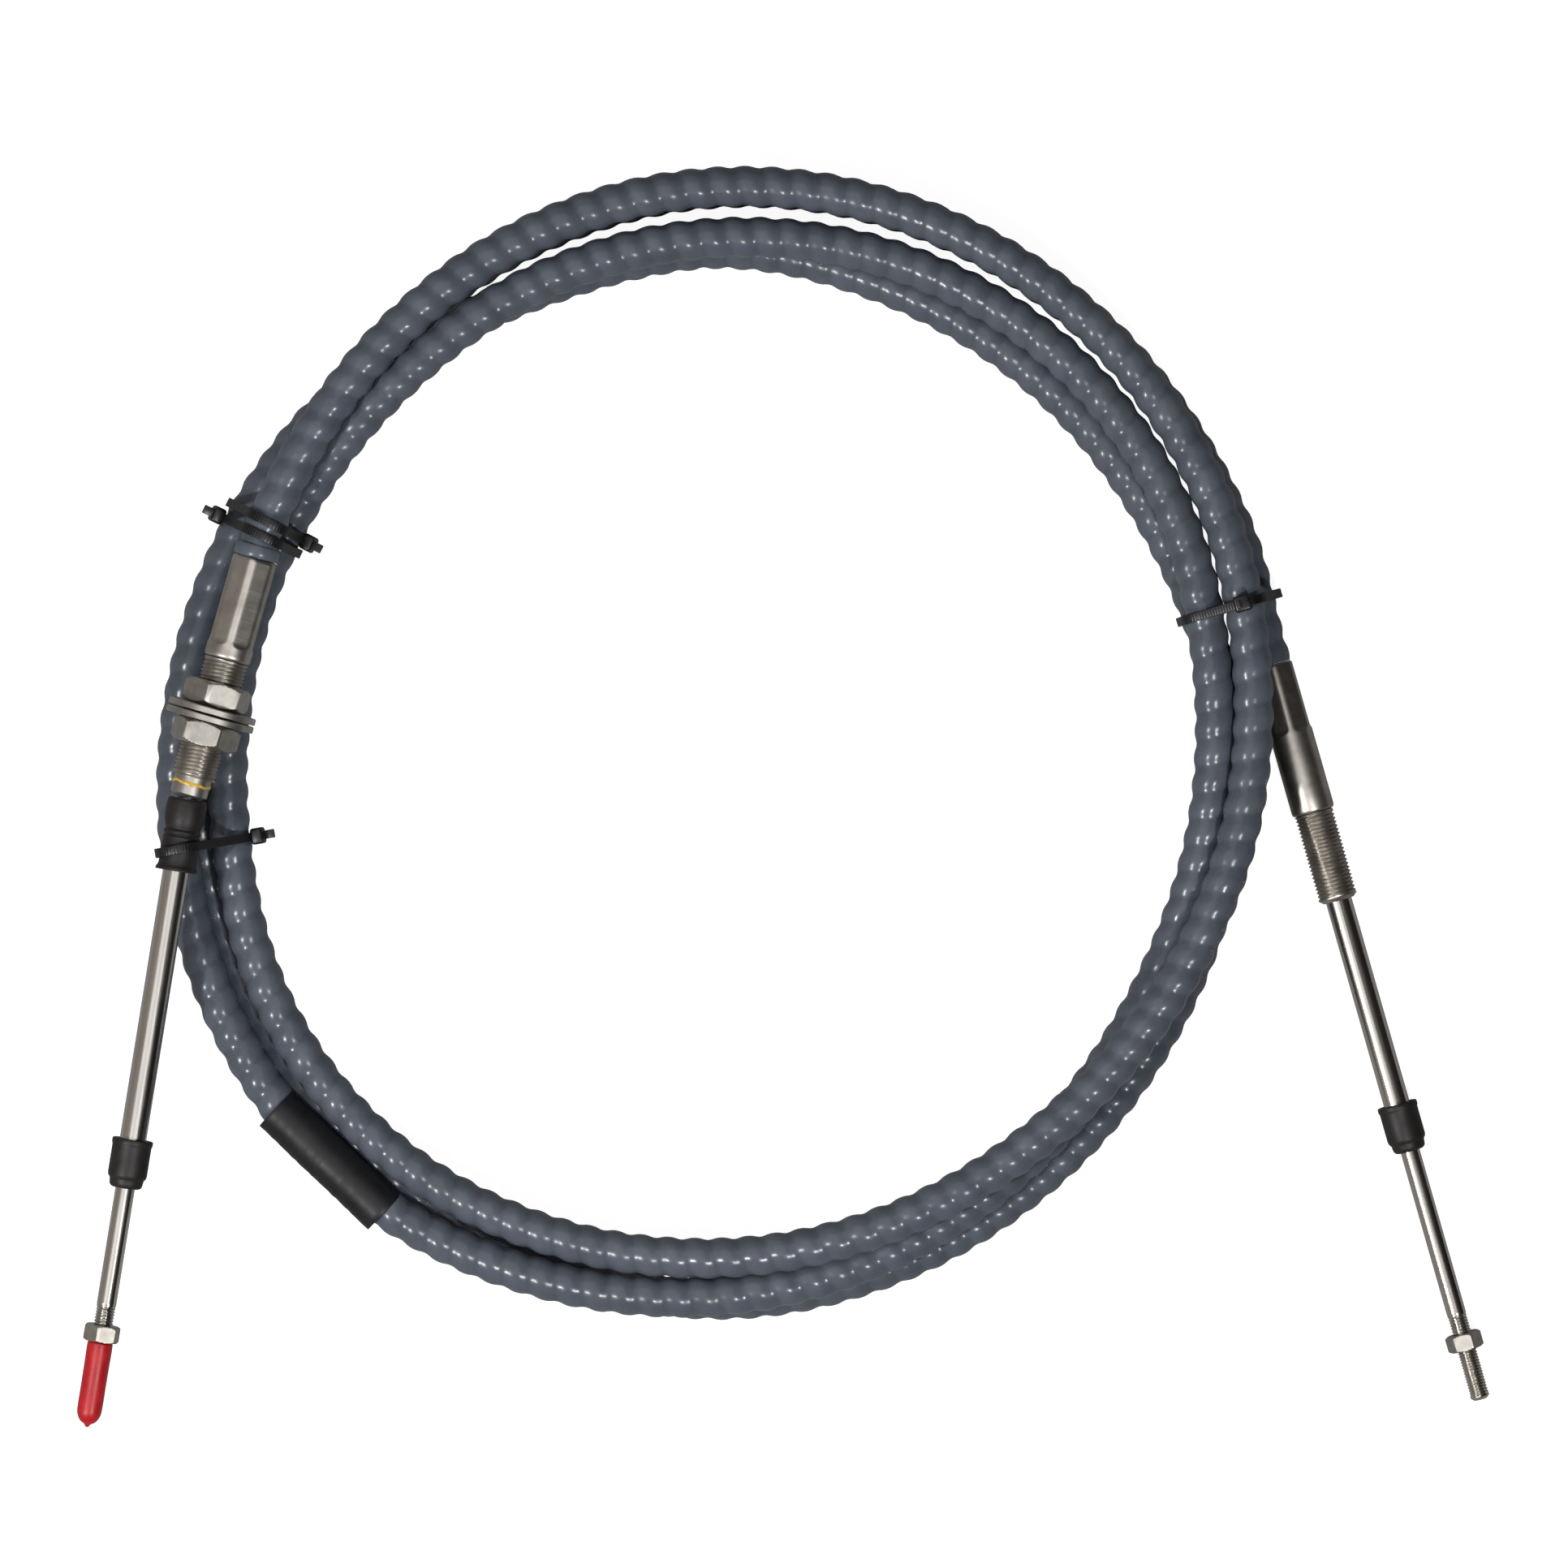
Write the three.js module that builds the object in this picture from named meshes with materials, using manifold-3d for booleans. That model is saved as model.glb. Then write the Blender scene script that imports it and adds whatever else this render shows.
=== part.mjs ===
// A boat steering cable, coiled for storage and tied.
// Millimetres, +Z up. The origin is the centre of the coil, on the floor it lies on.
// The coil is a ring of loops of one ribbed jacket. A threaded bulkhead fitting with
// a support tube, a wiper seal and a sliding threaded rod closes each end of the cable.
import * as THREE from 'three';
import { mergeVertices } from 'three/addons/utils/BufferGeometryUtils.js';
import Module from 'manifold-3d';

const wasm = await Module();
wasm.setup();

// Sizes of the cable jacket and of the ring it is coiled in.
const ring_radius = 187.2;
const jacket_diameter = 14.3;
const jacket_sides = 12;
const step_angle = 15;
const first_angle = 143.5;
const steps_round = 80;
const straight_lead = 14;

// Clearances between pieces that touch.
const touch_gap = 0.3;
const running_gap = 0.3;
const tie_gap = 0.6;

// Rods and the tubes that guide them, the same at both ends.
const rod_diameter = 7.0;
const tube_diameter = 9.5;
const tube_bore = rod_diameter + 2 * running_gap;
const rod_travel = 38.1;
const rod_engaged = rod_travel + 14;
const tip_chamfer = 1.0;

// Wiper seal on the end of a tube.
const seal_diameter = 14.6;
const seal_length = 17.5;
const seal_lip_length = 3.6;
const seal_nose_length = 3.0;
const seal_nose_diameter = 11.8;
const seal_rim = 0.5;

// Jam nut on each rod.
const jam_nut_flats = 11.6;
const jam_nut_thickness = 6.0;
const nut_chamfer = 0.9;

// Upper fitting, with its hub clamped in two nuts and two washers.
const hub_a_heading = 254.2;
const hub_a_sleeve_diameter = 16.8;
const hub_a_sleeve_flats = 15.5;
const hub_a_sleeve_length = 37.5;
const hub_a_flats_length = 33.0;
const hub_a_thread_diameter = 15.9;
const hub_a_thread_end = 81.0;
const hub_a_collar_diameter = 13.4;
const hub_a_end = 87.6;
const bulkhead_nut_flats = 21.6;
const bulkhead_nut_thickness = 8.6;
const washer_diameter = 31.8;
const washer_thickness = 2.4;
const washer_gap = 0.5;
const lower_nut_start = 46.2;
const tube_a_swing = 6.67;
const tube_a_to_seal = 123.9;
const tube_a_start = 0.8;
const boot_start = 1.2;
const boot_length = 26.0;
const boot_diameter = 14.4;
const boot_waist = 12.6;
const rod_a_out = 79.0;
const jam_nut_a_at = 49.4;
const cap_diameter = 9.0;
const cap_length = 30.5;
const cap_wall = 0.7;
const cap_nipple = 1.6;
const collar_a_length = 4.2;
const collar_a_wall = 0.9;

// Lower fitting, whose tube swings in the mouth of its hub.
const hub_b_heading = 285.9;
const hub_b_sleeve_diameter = 15.65;
const hub_b_sleeve_flats = 14.4;
const hub_b_sleeve_length = 55.3;
const hub_b_flats_length = 26.0;
const hub_b_thread_diameter = 14.2;
const hub_b_thread_end = 88.4;
const hub_b_socket = 6.0;
const socket_play = 0.75;
const tube_b_to_seal = 76.6;
const rod_b_out = 93.3;
const jam_nut_b_at = 68.6;

// Thread run-outs and chamfers on the hubs.
const thread_chamfer = 1.2;
const thread_relief = 0.7;

// Nylon ties.
const tie_width = 3.2;
const tie_thickness = 1.1;
const tie_head_width = 6.0;
const tie_head_length = 6.4;
const tie_head_height = 4.6;
const tie_tail = 4.0;
const tie_tail_offset = 1.2;
const tie_head_sink = 0.66;
const tie_1_angle = 154.6;
const tie_2_angle = 152.9;
const tie_4_angle = 16.2;
// Which way each head faces: 0 is away from the ring's centre and 90 is up.
const tie_1_head_facing = 20;
const tie_2_head_facing = 165;
const tie_3_head_facing = 170;
const tie_4_head_facing = 95;
// Where the third tie crosses the boot, as a share of the boot's length.
const tie_3_place = 0.7;

// Plain black sleeve shrunk over the jacket.
const label_angle = -494;
const label_length = 51.0;
const label_wall = 1.3;

const jacket_radius = jacket_diameter / 2;
const outline_sides = 24;
// The ties pass under the cable, so the floor layer's middle line is this high.
const floor_layer = (jacket_radius + tie_gap + tie_thickness) / Math.cos(Math.PI / outline_sides);
const rod_radius = rod_diameter / 2;
const tube_radius = tube_diameter / 2;
const round_sides = 24;
const small_gap = 0.4;

// The route of the cable, from the upper fitting to the lower one.
// Each row is an angle round the ring in degrees, how far the cable lies outside the
// ring's middle radius, and its level above the floor layer, both in cable diameters.
const route = [
  [157.2, -0.51, 2.57], [147, -0.29, 2.54], [130, 0.16, 2.34], [110, 0.75, 1.83],
  [90, 1.14, 1.33], [70, 1.26, 1.08], [50, 1.16, 1.05], [30, 0.86, 1.13],
  [10, 0.39, 1.34], [-10, -0.03, 1.57], [-30, -0.45, 1.74], [-50, -0.67, 1.83],
  [-70, -0.63, 1.73], [-90, -0.48, 1.4], [-110, -0.27, 1.08], [-130, -0.1, 0.94],
  [-150, -0.2, 0.89], [-170, -0.56, 0.84], [-190, -0.75, 1.01], [-210, -0.8, 1.44],
  [-220, -0.79, 1.7], [-230, -0.73, 1.86], [-240, -0.58, 1.82], [-250, -0.41, 1.65],
  [-270, -0.12, 1.18], [-290, 0.07, 0.85], [-310, 0.08, 0.77], [-330, -0.16, 0.95],
  [-350, -0.6, 1.06], [-370, -0.79, 0.88], [-390, -0.79, 0.76], [-410, -0.45, 0.82],
  [-430, 0.05, 0.96], [-450, 0.49, 1.04], [-470, 0.84, 1.0], [-490, 1.12, 0.95],
  [-510, 1.05, 0.93], [-530, 0.75, 0.9], [-550, 0.44, 1.01], [-570, 0.21, 1.08],
  [-580, 0.09, 1.06], [-590, -0.16, 0.93], [-600, -0.4, 0.72], [-610, -0.48, 0.48],
  [-620, -0.41, 0.28], [-630, -0.31, 0.12], [-650, -0.53, 0], [-670, -0.64, 0],
  [-690, -0.65, 0], [-710, -0.44, 0], [-730, -0.21, 0], [-750, -0.05, 0],
  [-770, 0.21, 0], [-790, 0.48, 0], [-810, 0.67, 0], [-830, 0.55, 0],
  [-850, 0.45, 0], [-870, 0.35, 0], [-890, 0.24, 0], [-910, 0.08, 0],
  [-930, -0.06, 0], [-940, 0.07, 0], [-950, 0.33, 0], [-960, 0.61, 0],
  [-970, 0.85, 0], [-990, 1.23, 0], [-1010, 1.34, 0], [-1030, 1.25, 0],
  [-1050, 1.07, 0], [-1070.7, 0.97, 0],
];

const materials = {
  jacket: new THREE.MeshStandardMaterial({ color: '#4c5159', roughness: 0.35, metalness: 0 }),
  steel: new THREE.MeshStandardMaterial({ color: '#b9b6b0', roughness: 0.25, metalness: 1 }),
  nut_steel: new THREE.MeshStandardMaterial({ color: '#a5a29b', roughness: 0.45, metalness: 1 }),
  rubber: new THREE.MeshStandardMaterial({ color: '#2a2725', roughness: 0.6, metalness: 0 }),
  nylon: new THREE.MeshStandardMaterial({ color: '#26262a', roughness: 0.5, metalness: 0 }),
  sleeve: new THREE.MeshStandardMaterial({ color: '#242428', roughness: 0.55, metalness: 0 }),
  vinyl: new THREE.MeshStandardMaterial({ color: '#c0222b', roughness: 0.4, metalness: 0 }),
};

const radians = THREE.MathUtils.degToRad;
const part = new THREE.Group();

// Joining and cutting.

// A closed solid from a three.js geometry, its faces turned outwards.
function solidOf(geometry) {
  const bare = geometry.clone();
  bare.deleteAttribute('normal');
  bare.deleteAttribute('uv');
  const merged = mergeVertices(bare, 1e-4);
  const place = merged.attributes.position;
  const index = merged.index.array;
  const kept = [];
  let volume = 0;
  const a = new THREE.Vector3();
  const b = new THREE.Vector3();
  const c = new THREE.Vector3();
  for (let i = 0; i < index.length; i += 3) {
    const [p, q, r] = [index[i], index[i + 1], index[i + 2]];
    if (p === q || q === r || p === r) continue;
    kept.push(p, q, r);
    a.fromBufferAttribute(place, p);
    b.fromBufferAttribute(place, q);
    c.fromBufferAttribute(place, r);
    volume += a.dot(b.cross(c));
  }
  if (volume < 0) {
    for (let i = 0; i < kept.length; i += 3) [kept[i], kept[i + 1]] = [kept[i + 1], kept[i]];
  }
  return new wasm.Manifold(new wasm.Mesh({
    numProp: 3,
    vertProperties: new Float32Array(place.array),
    triVerts: new Uint32Array(kept),
  }));
}

function geometryOf(solid) {
  const mesh = solid.getMesh();
  const geometry = new THREE.BufferGeometry();
  geometry.setAttribute('position', new THREE.BufferAttribute(mesh.vertProperties, 3));
  geometry.setIndex(new THREE.BufferAttribute(mesh.triVerts, 1));
  geometry.computeVertexNormals();
  return geometry;
}

function addMesh(group, name, geometry, material) {
  const mesh = new THREE.Mesh(geometry, material);
  mesh.name = name;
  group.add(mesh);
  return mesh;
}

// A turned piece along +X, from rows of [distance along the axis, diameter].
function turned(profile, sides = round_sides) {
  const points = profile.map(([x, diameter]) => new THREE.Vector2(diameter / 2, x));
  const geometry = new THREE.LatheGeometry(points, sides);
  geometry.rotateZ(-Math.PI / 2);
  return solidOf(geometry);
}

// A turned ring along +X: the profile closes on itself.
function turnedRing(profile, sides = round_sides) {
  return turned([...profile, profile[0]], sides);
}

// The cable's route.

// Value of one column of the route at an angle, smooth through every row.
function along(angle, column) {
  let i = 0;
  while (i < route.length - 2 && angle < route[i + 1][0]) i += 1;
  const slope = (k) => {
    const before = route[Math.max(k - 1, 0)];
    const after = route[Math.min(k + 1, route.length - 1)];
    return (after[column] - before[column]) / (after[0] - before[0]);
  };
  const span = route[i + 1][0] - route[i][0];
  const u = (angle - route[i][0]) / span;
  const start = (2 * u ** 3 - 3 * u ** 2 + 1) * route[i][column];
  const end = (3 * u ** 2 - 2 * u ** 3) * route[i + 1][column];
  const leaving = (u ** 3 - 2 * u ** 2 + u) * span * slope(i);
  const arriving = (u ** 3 - u ** 2) * span * slope(i + 1);
  return start + end + leaving + arriving;
}

function routePoint(angle) {
  const radius = ring_radius + along(angle, 1) * jacket_diameter;
  const height = floor_layer + along(angle, 2) * jacket_diameter;
  return new THREE.Vector3(
    radius * Math.cos(radians(angle)),
    radius * Math.sin(radians(angle)),
    height,
  );
}

function headingVector(heading) {
  return new THREE.Vector3(Math.cos(radians(heading)), Math.sin(radians(heading)), 0);
}

const hub_a_mouth = routePoint(route[0][0]);
const hub_b_mouth = routePoint(route[route.length - 1][0]);

// The middle line of the jacket: a short straight lead out of each hub, and one
// point at every step round the ring, so neighbouring loops bend side by side.
function routeVertices() {
  const out_a = headingVector(hub_a_heading).negate();
  const out_b = headingVector(hub_b_heading).negate();
  const points = [
    hub_a_mouth.clone().addScaledVector(out_a, touch_gap),
    hub_a_mouth.clone().addScaledVector(out_a, straight_lead),
  ];
  for (let i = 0; i <= steps_round; i += 1) points.push(routePoint(first_angle - i * step_angle));
  points.push(hub_b_mouth.clone().addScaledVector(out_b, straight_lead));
  points.push(hub_b_mouth.clone().addScaledVector(out_b, touch_gap));
  return points;
}

class Polyline extends THREE.Curve {
  constructor(points) {
    super();
    this.points = points;
  }

  getPoint(t, target = new THREE.Vector3()) {
    const place = THREE.MathUtils.clamp(t, 0, 1) * (this.points.length - 1);
    const i = Math.min(Math.floor(place), this.points.length - 2);
    return target.lerpVectors(this.points[i], this.points[i + 1], place - i);
  }

  getUtoTmapping(u) {
    return u;
  }
}

function circleShape(radius, sides) {
  const shape = new THREE.Shape();
  for (let i = 0; i < sides; i += 1) {
    const turn = (2 * Math.PI * (i + 0.5)) / sides;
    const [x, y] = [radius * Math.cos(turn), radius * Math.sin(turn)];
    if (i === 0) shape.moveTo(x, y);
    else shape.lineTo(x, y);
  }
  shape.closePath();
  return shape;
}

function makeJacket() {
  const points = routeVertices();
  const geometry = new THREE.ExtrudeGeometry(circleShape(jacket_radius, jacket_sides), {
    steps: points.length - 1,
    bevelEnabled: false,
    extrudePath: new Polyline(points),
  });
  addMesh(part, 'cable_jacket', geometryOf(solidOf(geometry)), materials.jacket);
}

// Nuts and washers.

// A hexagon nut along +X from x = 0, with both faces chamfered.
function hexNut(flats, thickness, bore) {
  const corner = flats / 2 / Math.cos(Math.PI / 6);
  const shape = circleShape(corner, 6);
  shape.holes.push(circleShape(bore / 2, round_sides));
  const geometry = new THREE.ExtrudeGeometry(shape, { depth: thickness, bevelEnabled: false });
  geometry.rotateY(Math.PI / 2);
  const rim = 2 * corner + 0.4;
  const face = flats * 0.96;
  const envelope = turned([
    [-0.01, 0], [-0.01, face], [nut_chamfer, rim], [thickness - nut_chamfer, rim],
    [thickness + 0.01, face], [thickness + 0.01, 0],
  ], 48);
  return solidOf(geometry).intersect(envelope);
}

// Crimped and threaded hubs.

// Flat bars that cut the six flats of a crimped sleeve.
function crimpCutters(sleeve_diameter, flats, length) {
  const depth = sleeve_diameter;
  const cutters = [];
  for (let i = 0; i < 6; i += 1) {
    const box = new THREE.BoxGeometry(length + 1, depth, sleeve_diameter);
    box.translate(length / 2 - 0.5, flats / 2 + depth / 2, 0);
    box.rotateX((i * Math.PI) / 3);
    cutters.push(solidOf(box));
  }
  return cutters;
}

function makeHubA(group) {
  const bore = tube_bore;
  const body = turned([
    [0, 0], [0, hub_a_sleeve_diameter - 1.2], [1.0, hub_a_sleeve_diameter],
    [hub_a_sleeve_length - 1.0, hub_a_sleeve_diameter],
    [hub_a_sleeve_length, hub_a_thread_diameter - 2 * thread_relief],
    [hub_a_sleeve_length + 1.0, hub_a_thread_diameter],
    [hub_a_thread_end - thread_relief, hub_a_thread_diameter],
    [hub_a_thread_end, hub_a_collar_diameter], [hub_a_end, hub_a_collar_diameter],
    [hub_a_end, bore], [hub_a_thread_end, bore], [hub_a_thread_end, 0],
  ], 36);
  const cutters = crimpCutters(hub_a_sleeve_diameter, hub_a_sleeve_flats, hub_a_flats_length);
  const solid = cutters.reduce((kept, cutter) => kept.subtract(cutter), body);
  addMesh(group, 'hub_a', geometryOf(solid), materials.steel);
}

function makeHubB(group) {
  const mouth = tube_diameter + 2 * socket_play;
  const body = turned([
    [0, 0], [0, hub_b_sleeve_diameter - 1.2], [1.0, hub_b_sleeve_diameter],
    [hub_b_sleeve_length - 1.6, hub_b_sleeve_diameter],
    [hub_b_sleeve_length, hub_b_thread_diameter - 2 * thread_relief],
    [hub_b_sleeve_length + 1.0, hub_b_thread_diameter],
    [hub_b_thread_end - thread_chamfer, hub_b_thread_diameter],
    [hub_b_thread_end, hub_b_thread_diameter - 2 * thread_chamfer],
    [hub_b_thread_end, mouth], [hub_b_thread_end - hub_b_socket, mouth],
    [hub_b_thread_end - hub_b_socket, 0],
  ], 36);
  const cutters = crimpCutters(hub_b_sleeve_diameter, hub_b_sleeve_flats, hub_b_flats_length);
  const solid = cutters.reduce((kept, cutter) => kept.subtract(cutter), body);
  addMesh(group, 'hub_b', geometryOf(solid), materials.steel);
}

function makeBulkheadNuts(group) {
  const bore = hub_a_thread_diameter + 2 * touch_gap;
  const washer_1 = lower_nut_start + bulkhead_nut_thickness + touch_gap;
  const washer_2 = washer_1 + washer_thickness + washer_gap;
  const upper_nut = washer_2 + washer_thickness + touch_gap;
  const places = [['bulkhead_nut_1', lower_nut_start], ['bulkhead_nut_2', upper_nut]];
  for (const [name, x] of places) {
    const nut = hexNut(bulkhead_nut_flats, bulkhead_nut_thickness, bore);
    addMesh(group, name, geometryOf(nut), materials.nut_steel).position.x = x;
  }
  for (const [name, x] of [['washer_1', washer_1], ['washer_2', washer_2]]) {
    const ring = turnedRing([
      [0, bore], [0, washer_diameter], [washer_thickness, washer_diameter],
      [washer_thickness, bore],
    ], 36);
    addMesh(group, name, geometryOf(ring), materials.steel).position.x = x;
  }
}

// Tubes, seals and rods.

function tubeSolid(length) {
  return turnedRing([
    [0, tube_bore], [0, tube_diameter], [length, tube_diameter], [length, tube_bore],
  ]);
}

// A wiper seal from x = 0: it grips the end of the tube, and its lip rides on the rod.
function sealSolid() {
  const grip = tube_diameter + 2 * touch_gap;
  const lip = rod_diameter + 2 * running_gap;
  const shoulder = seal_length - seal_lip_length;
  return turnedRing([
    [0, grip], [0, seal_diameter], [seal_length - seal_nose_length - 1, seal_diameter],
    [seal_length - seal_nose_length, seal_nose_diameter + seal_rim],
    [seal_length, seal_nose_diameter - 1], [seal_length, lip], [shoulder, lip], [shoulder, grip],
  ]);
}

// A rod from its hidden inner end at x = -engaged to its chamfered tip at x = out.
function rodSolid(engaged, out) {
  return turned([
    [-engaged, 0], [-engaged, rod_diameter], [out - tip_chamfer, rod_diameter],
    [out, rod_diameter - 2 * tip_chamfer], [out, 0],
  ]);
}

function addRodEnd(group, letter, seal_end, out, nut_at) {
  addMesh(group, `rod_${letter}`, geometryOf(rodSolid(rod_engaged, out)), materials.steel)
    .position.x = seal_end;
  const nut = hexNut(jam_nut_flats, jam_nut_thickness, rod_diameter + 2 * touch_gap);
  addMesh(group, `jam_nut_${letter}`, geometryOf(nut), materials.nut_steel)
    .position.x = seal_end + nut_at;
}

// The tube stops short of the seal's lip by the same small gap at both ends.
function addTubeAndSeal(group, letter, start, seal_start) {
  const tube_end = seal_start + seal_length - seal_lip_length - touch_gap;
  addMesh(group, `tube_${letter}`, geometryOf(tubeSolid(tube_end - start)), materials.steel)
    .position.x = start;
  addMesh(group, `seal_${letter}`, geometryOf(sealSolid()), materials.rubber)
    .position.x = seal_start;
}

// The rubber boot over the swivel of the upper fitting, with a waist and a lip.
function makeBoot(group) {
  const bore = tube_diameter + 2 * touch_gap;
  const [l, d, w] = [boot_length, boot_diameter, boot_waist];
  const ring = turnedRing([
    [0, bore], [0, d - 1.4], [l * 0.1, d], [l * 0.32, d], [l * 0.45, w], [l * 0.5, w],
    [l * 0.56, d - 0.8], [l * 0.9, d - 0.6], [l * 0.96, d], [l, d], [l, bore],
  ]);
  addMesh(group, 'boot_a', geometryOf(ring), materials.rubber).position.x = boot_start;
}

// The red dipped cap over the tip of the upper rod.
function makeCap(group, seal_end) {
  const base = jam_nut_a_at + jam_nut_thickness + touch_gap;
  const bore = rod_diameter + 2 * touch_gap;
  const r = cap_diameter;
  const tip = cap_length;
  const inside = rod_a_out - base + small_gap;
  const solid = turned([
    [0, bore], [0, r], [tip - 5.5, r], [tip - 3.6, r * 0.9], [tip - 2.2, r * 0.68],
    [tip - 1.2, r * 0.38], [tip, cap_nipple], [tip, 0],
    [inside, 0], [inside, bore], [0, bore],
  ]);
  addMesh(group, 'cap_a', geometryOf(solid), materials.vinyl).position.x = seal_end + base;
}

// The grey ring of the jacket's end, just outside the crimped sleeve.
function makeCollar(group) {
  const bore = jacket_diameter + 2 * touch_gap;
  const outer = bore + 2 * collar_a_wall;
  const ring = turnedRing([
    [0, bore], [0, outer], [collar_a_length, outer], [collar_a_length, bore],
  ]);
  addMesh(group, 'jacket_collar_a', geometryOf(ring), materials.jacket)
    .position.x = -touch_gap - collar_a_length;
}

function makeFittingA() {
  const hub = new THREE.Group();
  hub.position.copy(hub_a_mouth);
  hub.rotation.z = radians(hub_a_heading);
  part.add(hub);
  makeCollar(hub);
  makeHubA(hub);
  makeBulkheadNuts(hub);
  const swivel = new THREE.Group();
  swivel.position.x = hub_a_end;
  swivel.rotation.z = radians(tube_a_swing);
  hub.add(swivel);
  makeBoot(swivel);
  addTubeAndSeal(swivel, 'a', tube_a_start, tube_a_to_seal);
  const seal_end = tube_a_to_seal + seal_length;
  addRodEnd(swivel, 'a', seal_end, rod_a_out, jam_nut_a_at);
  makeCap(swivel, seal_end);
  return { hub, swivel };
}

function makeFittingB() {
  const hub = new THREE.Group();
  hub.position.copy(hub_b_mouth);
  hub.rotation.z = radians(hub_b_heading);
  part.add(hub);
  makeHubB(hub);
  const seal_start = hub_b_thread_end + tube_b_to_seal;
  addTubeAndSeal(hub, 'b', hub_b_thread_end - hub_b_socket + small_gap, seal_start);
  addRodEnd(hub, 'b', seal_start + seal_length, rod_b_out, jam_nut_b_at);
  return hub;
}

// Ties.

// Corners of the convex outline round a set of circles, each [across, height, radius].
function outlineRound(circles, grow) {
  const points = [];
  for (const [x, y, radius] of circles) {
    for (let i = 0; i < outline_sides; i += 1) {
      const turn = (2 * Math.PI * i) / outline_sides;
      const reach = (radius + grow) / Math.cos(Math.PI / outline_sides);
      points.push([x + reach * Math.cos(turn), y + reach * Math.sin(turn)]);
    }
  }
  points.sort((p, q) => p[0] - q[0] || p[1] - q[1]);
  const cross = (o, p, q) => (p[0] - o[0]) * (q[1] - o[1]) - (p[1] - o[1]) * (q[0] - o[0]);
  const half = (list) => {
    const kept = [];
    for (const point of list) {
      while (kept.length > 1 && cross(kept.at(-2), kept.at(-1), point) <= 1e-9) kept.pop();
      kept.push(point);
    }
    kept.pop();
    return kept;
  };
  return [...half(points), ...half([...points].reverse())];
}

function outlineShape(points) {
  const shape = new THREE.Shape();
  points.forEach(([x, y], i) => (i === 0 ? shape.moveTo(x, y) : shape.lineTo(x, y)));
  shape.closePath();
  return shape;
}

// One tie: a closed strap round some circles in the upright plane at an angle of the
// ring, and its head, which sits on the strap on the side that a direction gives.
function makeTie(name, angle, circles, head_direction, tail_side) {
  const inner = outlineRound(circles, tie_gap);
  const outer = outlineRound(circles, tie_gap + tie_thickness);
  const shape = outlineShape(outer);
  shape.holes.push(outlineShape(inner));
  const strap = new THREE.ExtrudeGeometry(shape, { depth: tie_width, bevelEnabled: false });
  strap.translate(0, 0, -tie_width / 2);
  const away = [Math.cos(radians(head_direction)), Math.sin(radians(head_direction))];
  const reach = (p) => p[0] * away[0] + p[1] * away[1];
  const furthest = outer.reduce((best, p) => (reach(p) > reach(best) ? p : best));
  const base = tie_head_sink;
  const head = new THREE.BoxGeometry(tie_head_height, tie_head_length, tie_head_width);
  head.translate(tie_head_height / 2 - base, 0, 0);
  const tail = new THREE.BoxGeometry(tie_tail + 1, tie_thickness, tie_width);
  tail.translate(tie_head_height - base + tie_tail / 2 - 0.5, tail_side * tie_tail_offset, 0);
  let solid = solidOf(strap);
  for (const piece of [head, tail]) {
    piece.rotateZ(radians(head_direction));
    piece.translate(furthest[0], furthest[1], 0);
    solid = solid.add(solidOf(piece));
  }
  const mesh = addMesh(part, name, geometryOf(solid), materials.nylon);
  mesh.rotation.order = 'ZXY';
  mesh.rotation.set(Math.PI / 2, 0, radians(angle));
}

// The loops of the cable that cross the upright plane at an angle of the ring.
function loopsAt(angle) {
  const points = routeVertices();
  const circles = [];
  const turn_of = (p) => Math.atan2(p.y, p.x);
  const wanted = radians(angle);
  for (let i = 0; i + 1 < points.length; i += 1) {
    const [p, q] = [points[i], points[i + 1]];
    const wrap = (v) => Math.atan2(Math.sin(v), Math.cos(v));
    const [from, to] = [wrap(turn_of(p) - wanted), wrap(turn_of(q) - wanted)];
    if (from < 0 || to >= 0 || from > 1) continue;
    const along_radius = new THREE.Vector2(Math.cos(wanted), Math.sin(wanted));
    const side = (v) => v.x * along_radius.y - v.y * along_radius.x;
    const share = side(p) / (side(p) - side(q));
    const point = new THREE.Vector3().lerpVectors(p, q, share);
    circles.push([Math.hypot(point.x, point.y), point.z, jacket_radius]);
  }
  return circles;
}

function makeTies(fitting_a) {
  makeTie('tie_1', tie_1_angle, loopsAt(tie_1_angle), tie_1_head_facing, 1);
  makeTie('tie_2', tie_2_angle, loopsAt(tie_2_angle), tie_2_head_facing, -1);
  part.updateMatrixWorld(true);
  const boot_middle = new THREE.Vector3(boot_start + boot_length * tie_3_place, 0, 0);
  fitting_a.swivel.localToWorld(boot_middle);
  const angle = THREE.MathUtils.radToDeg(Math.atan2(boot_middle.y, boot_middle.x));
  const boot = [Math.hypot(boot_middle.x, boot_middle.y), boot_middle.z, boot_diameter / 2];
  makeTie('tie_3', angle, [...loopsAt(angle), boot], tie_3_head_facing, 1);
  makeTie('tie_4', tie_4_angle, loopsAt(tie_4_angle), tie_4_head_facing, 1);
}

// The plain black sleeve lies straight along one step of the jacket.
function makeLabelSleeve() {
  const from = routePoint(label_angle + step_angle / 2);
  const to = routePoint(label_angle - step_angle / 2);
  const bore = jacket_diameter + 2 * touch_gap;
  const outer = bore + 2 * label_wall;
  const ring = turnedRing([
    [-label_length / 2, bore], [-label_length / 2, outer], [label_length / 2, outer],
    [label_length / 2, bore],
  ]);
  const mesh = addMesh(part, 'label_sleeve', geometryOf(ring), materials.sleeve);
  mesh.position.lerpVectors(from, to, 0.5);
  mesh.quaternion.setFromUnitVectors(new THREE.Vector3(1, 0, 0), to.clone().sub(from).normalize());
}

makeJacket();
const fitting_a = makeFittingA();
makeFittingB();
makeTies(fitting_a);
makeLabelSleeve();

export default part;
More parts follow.
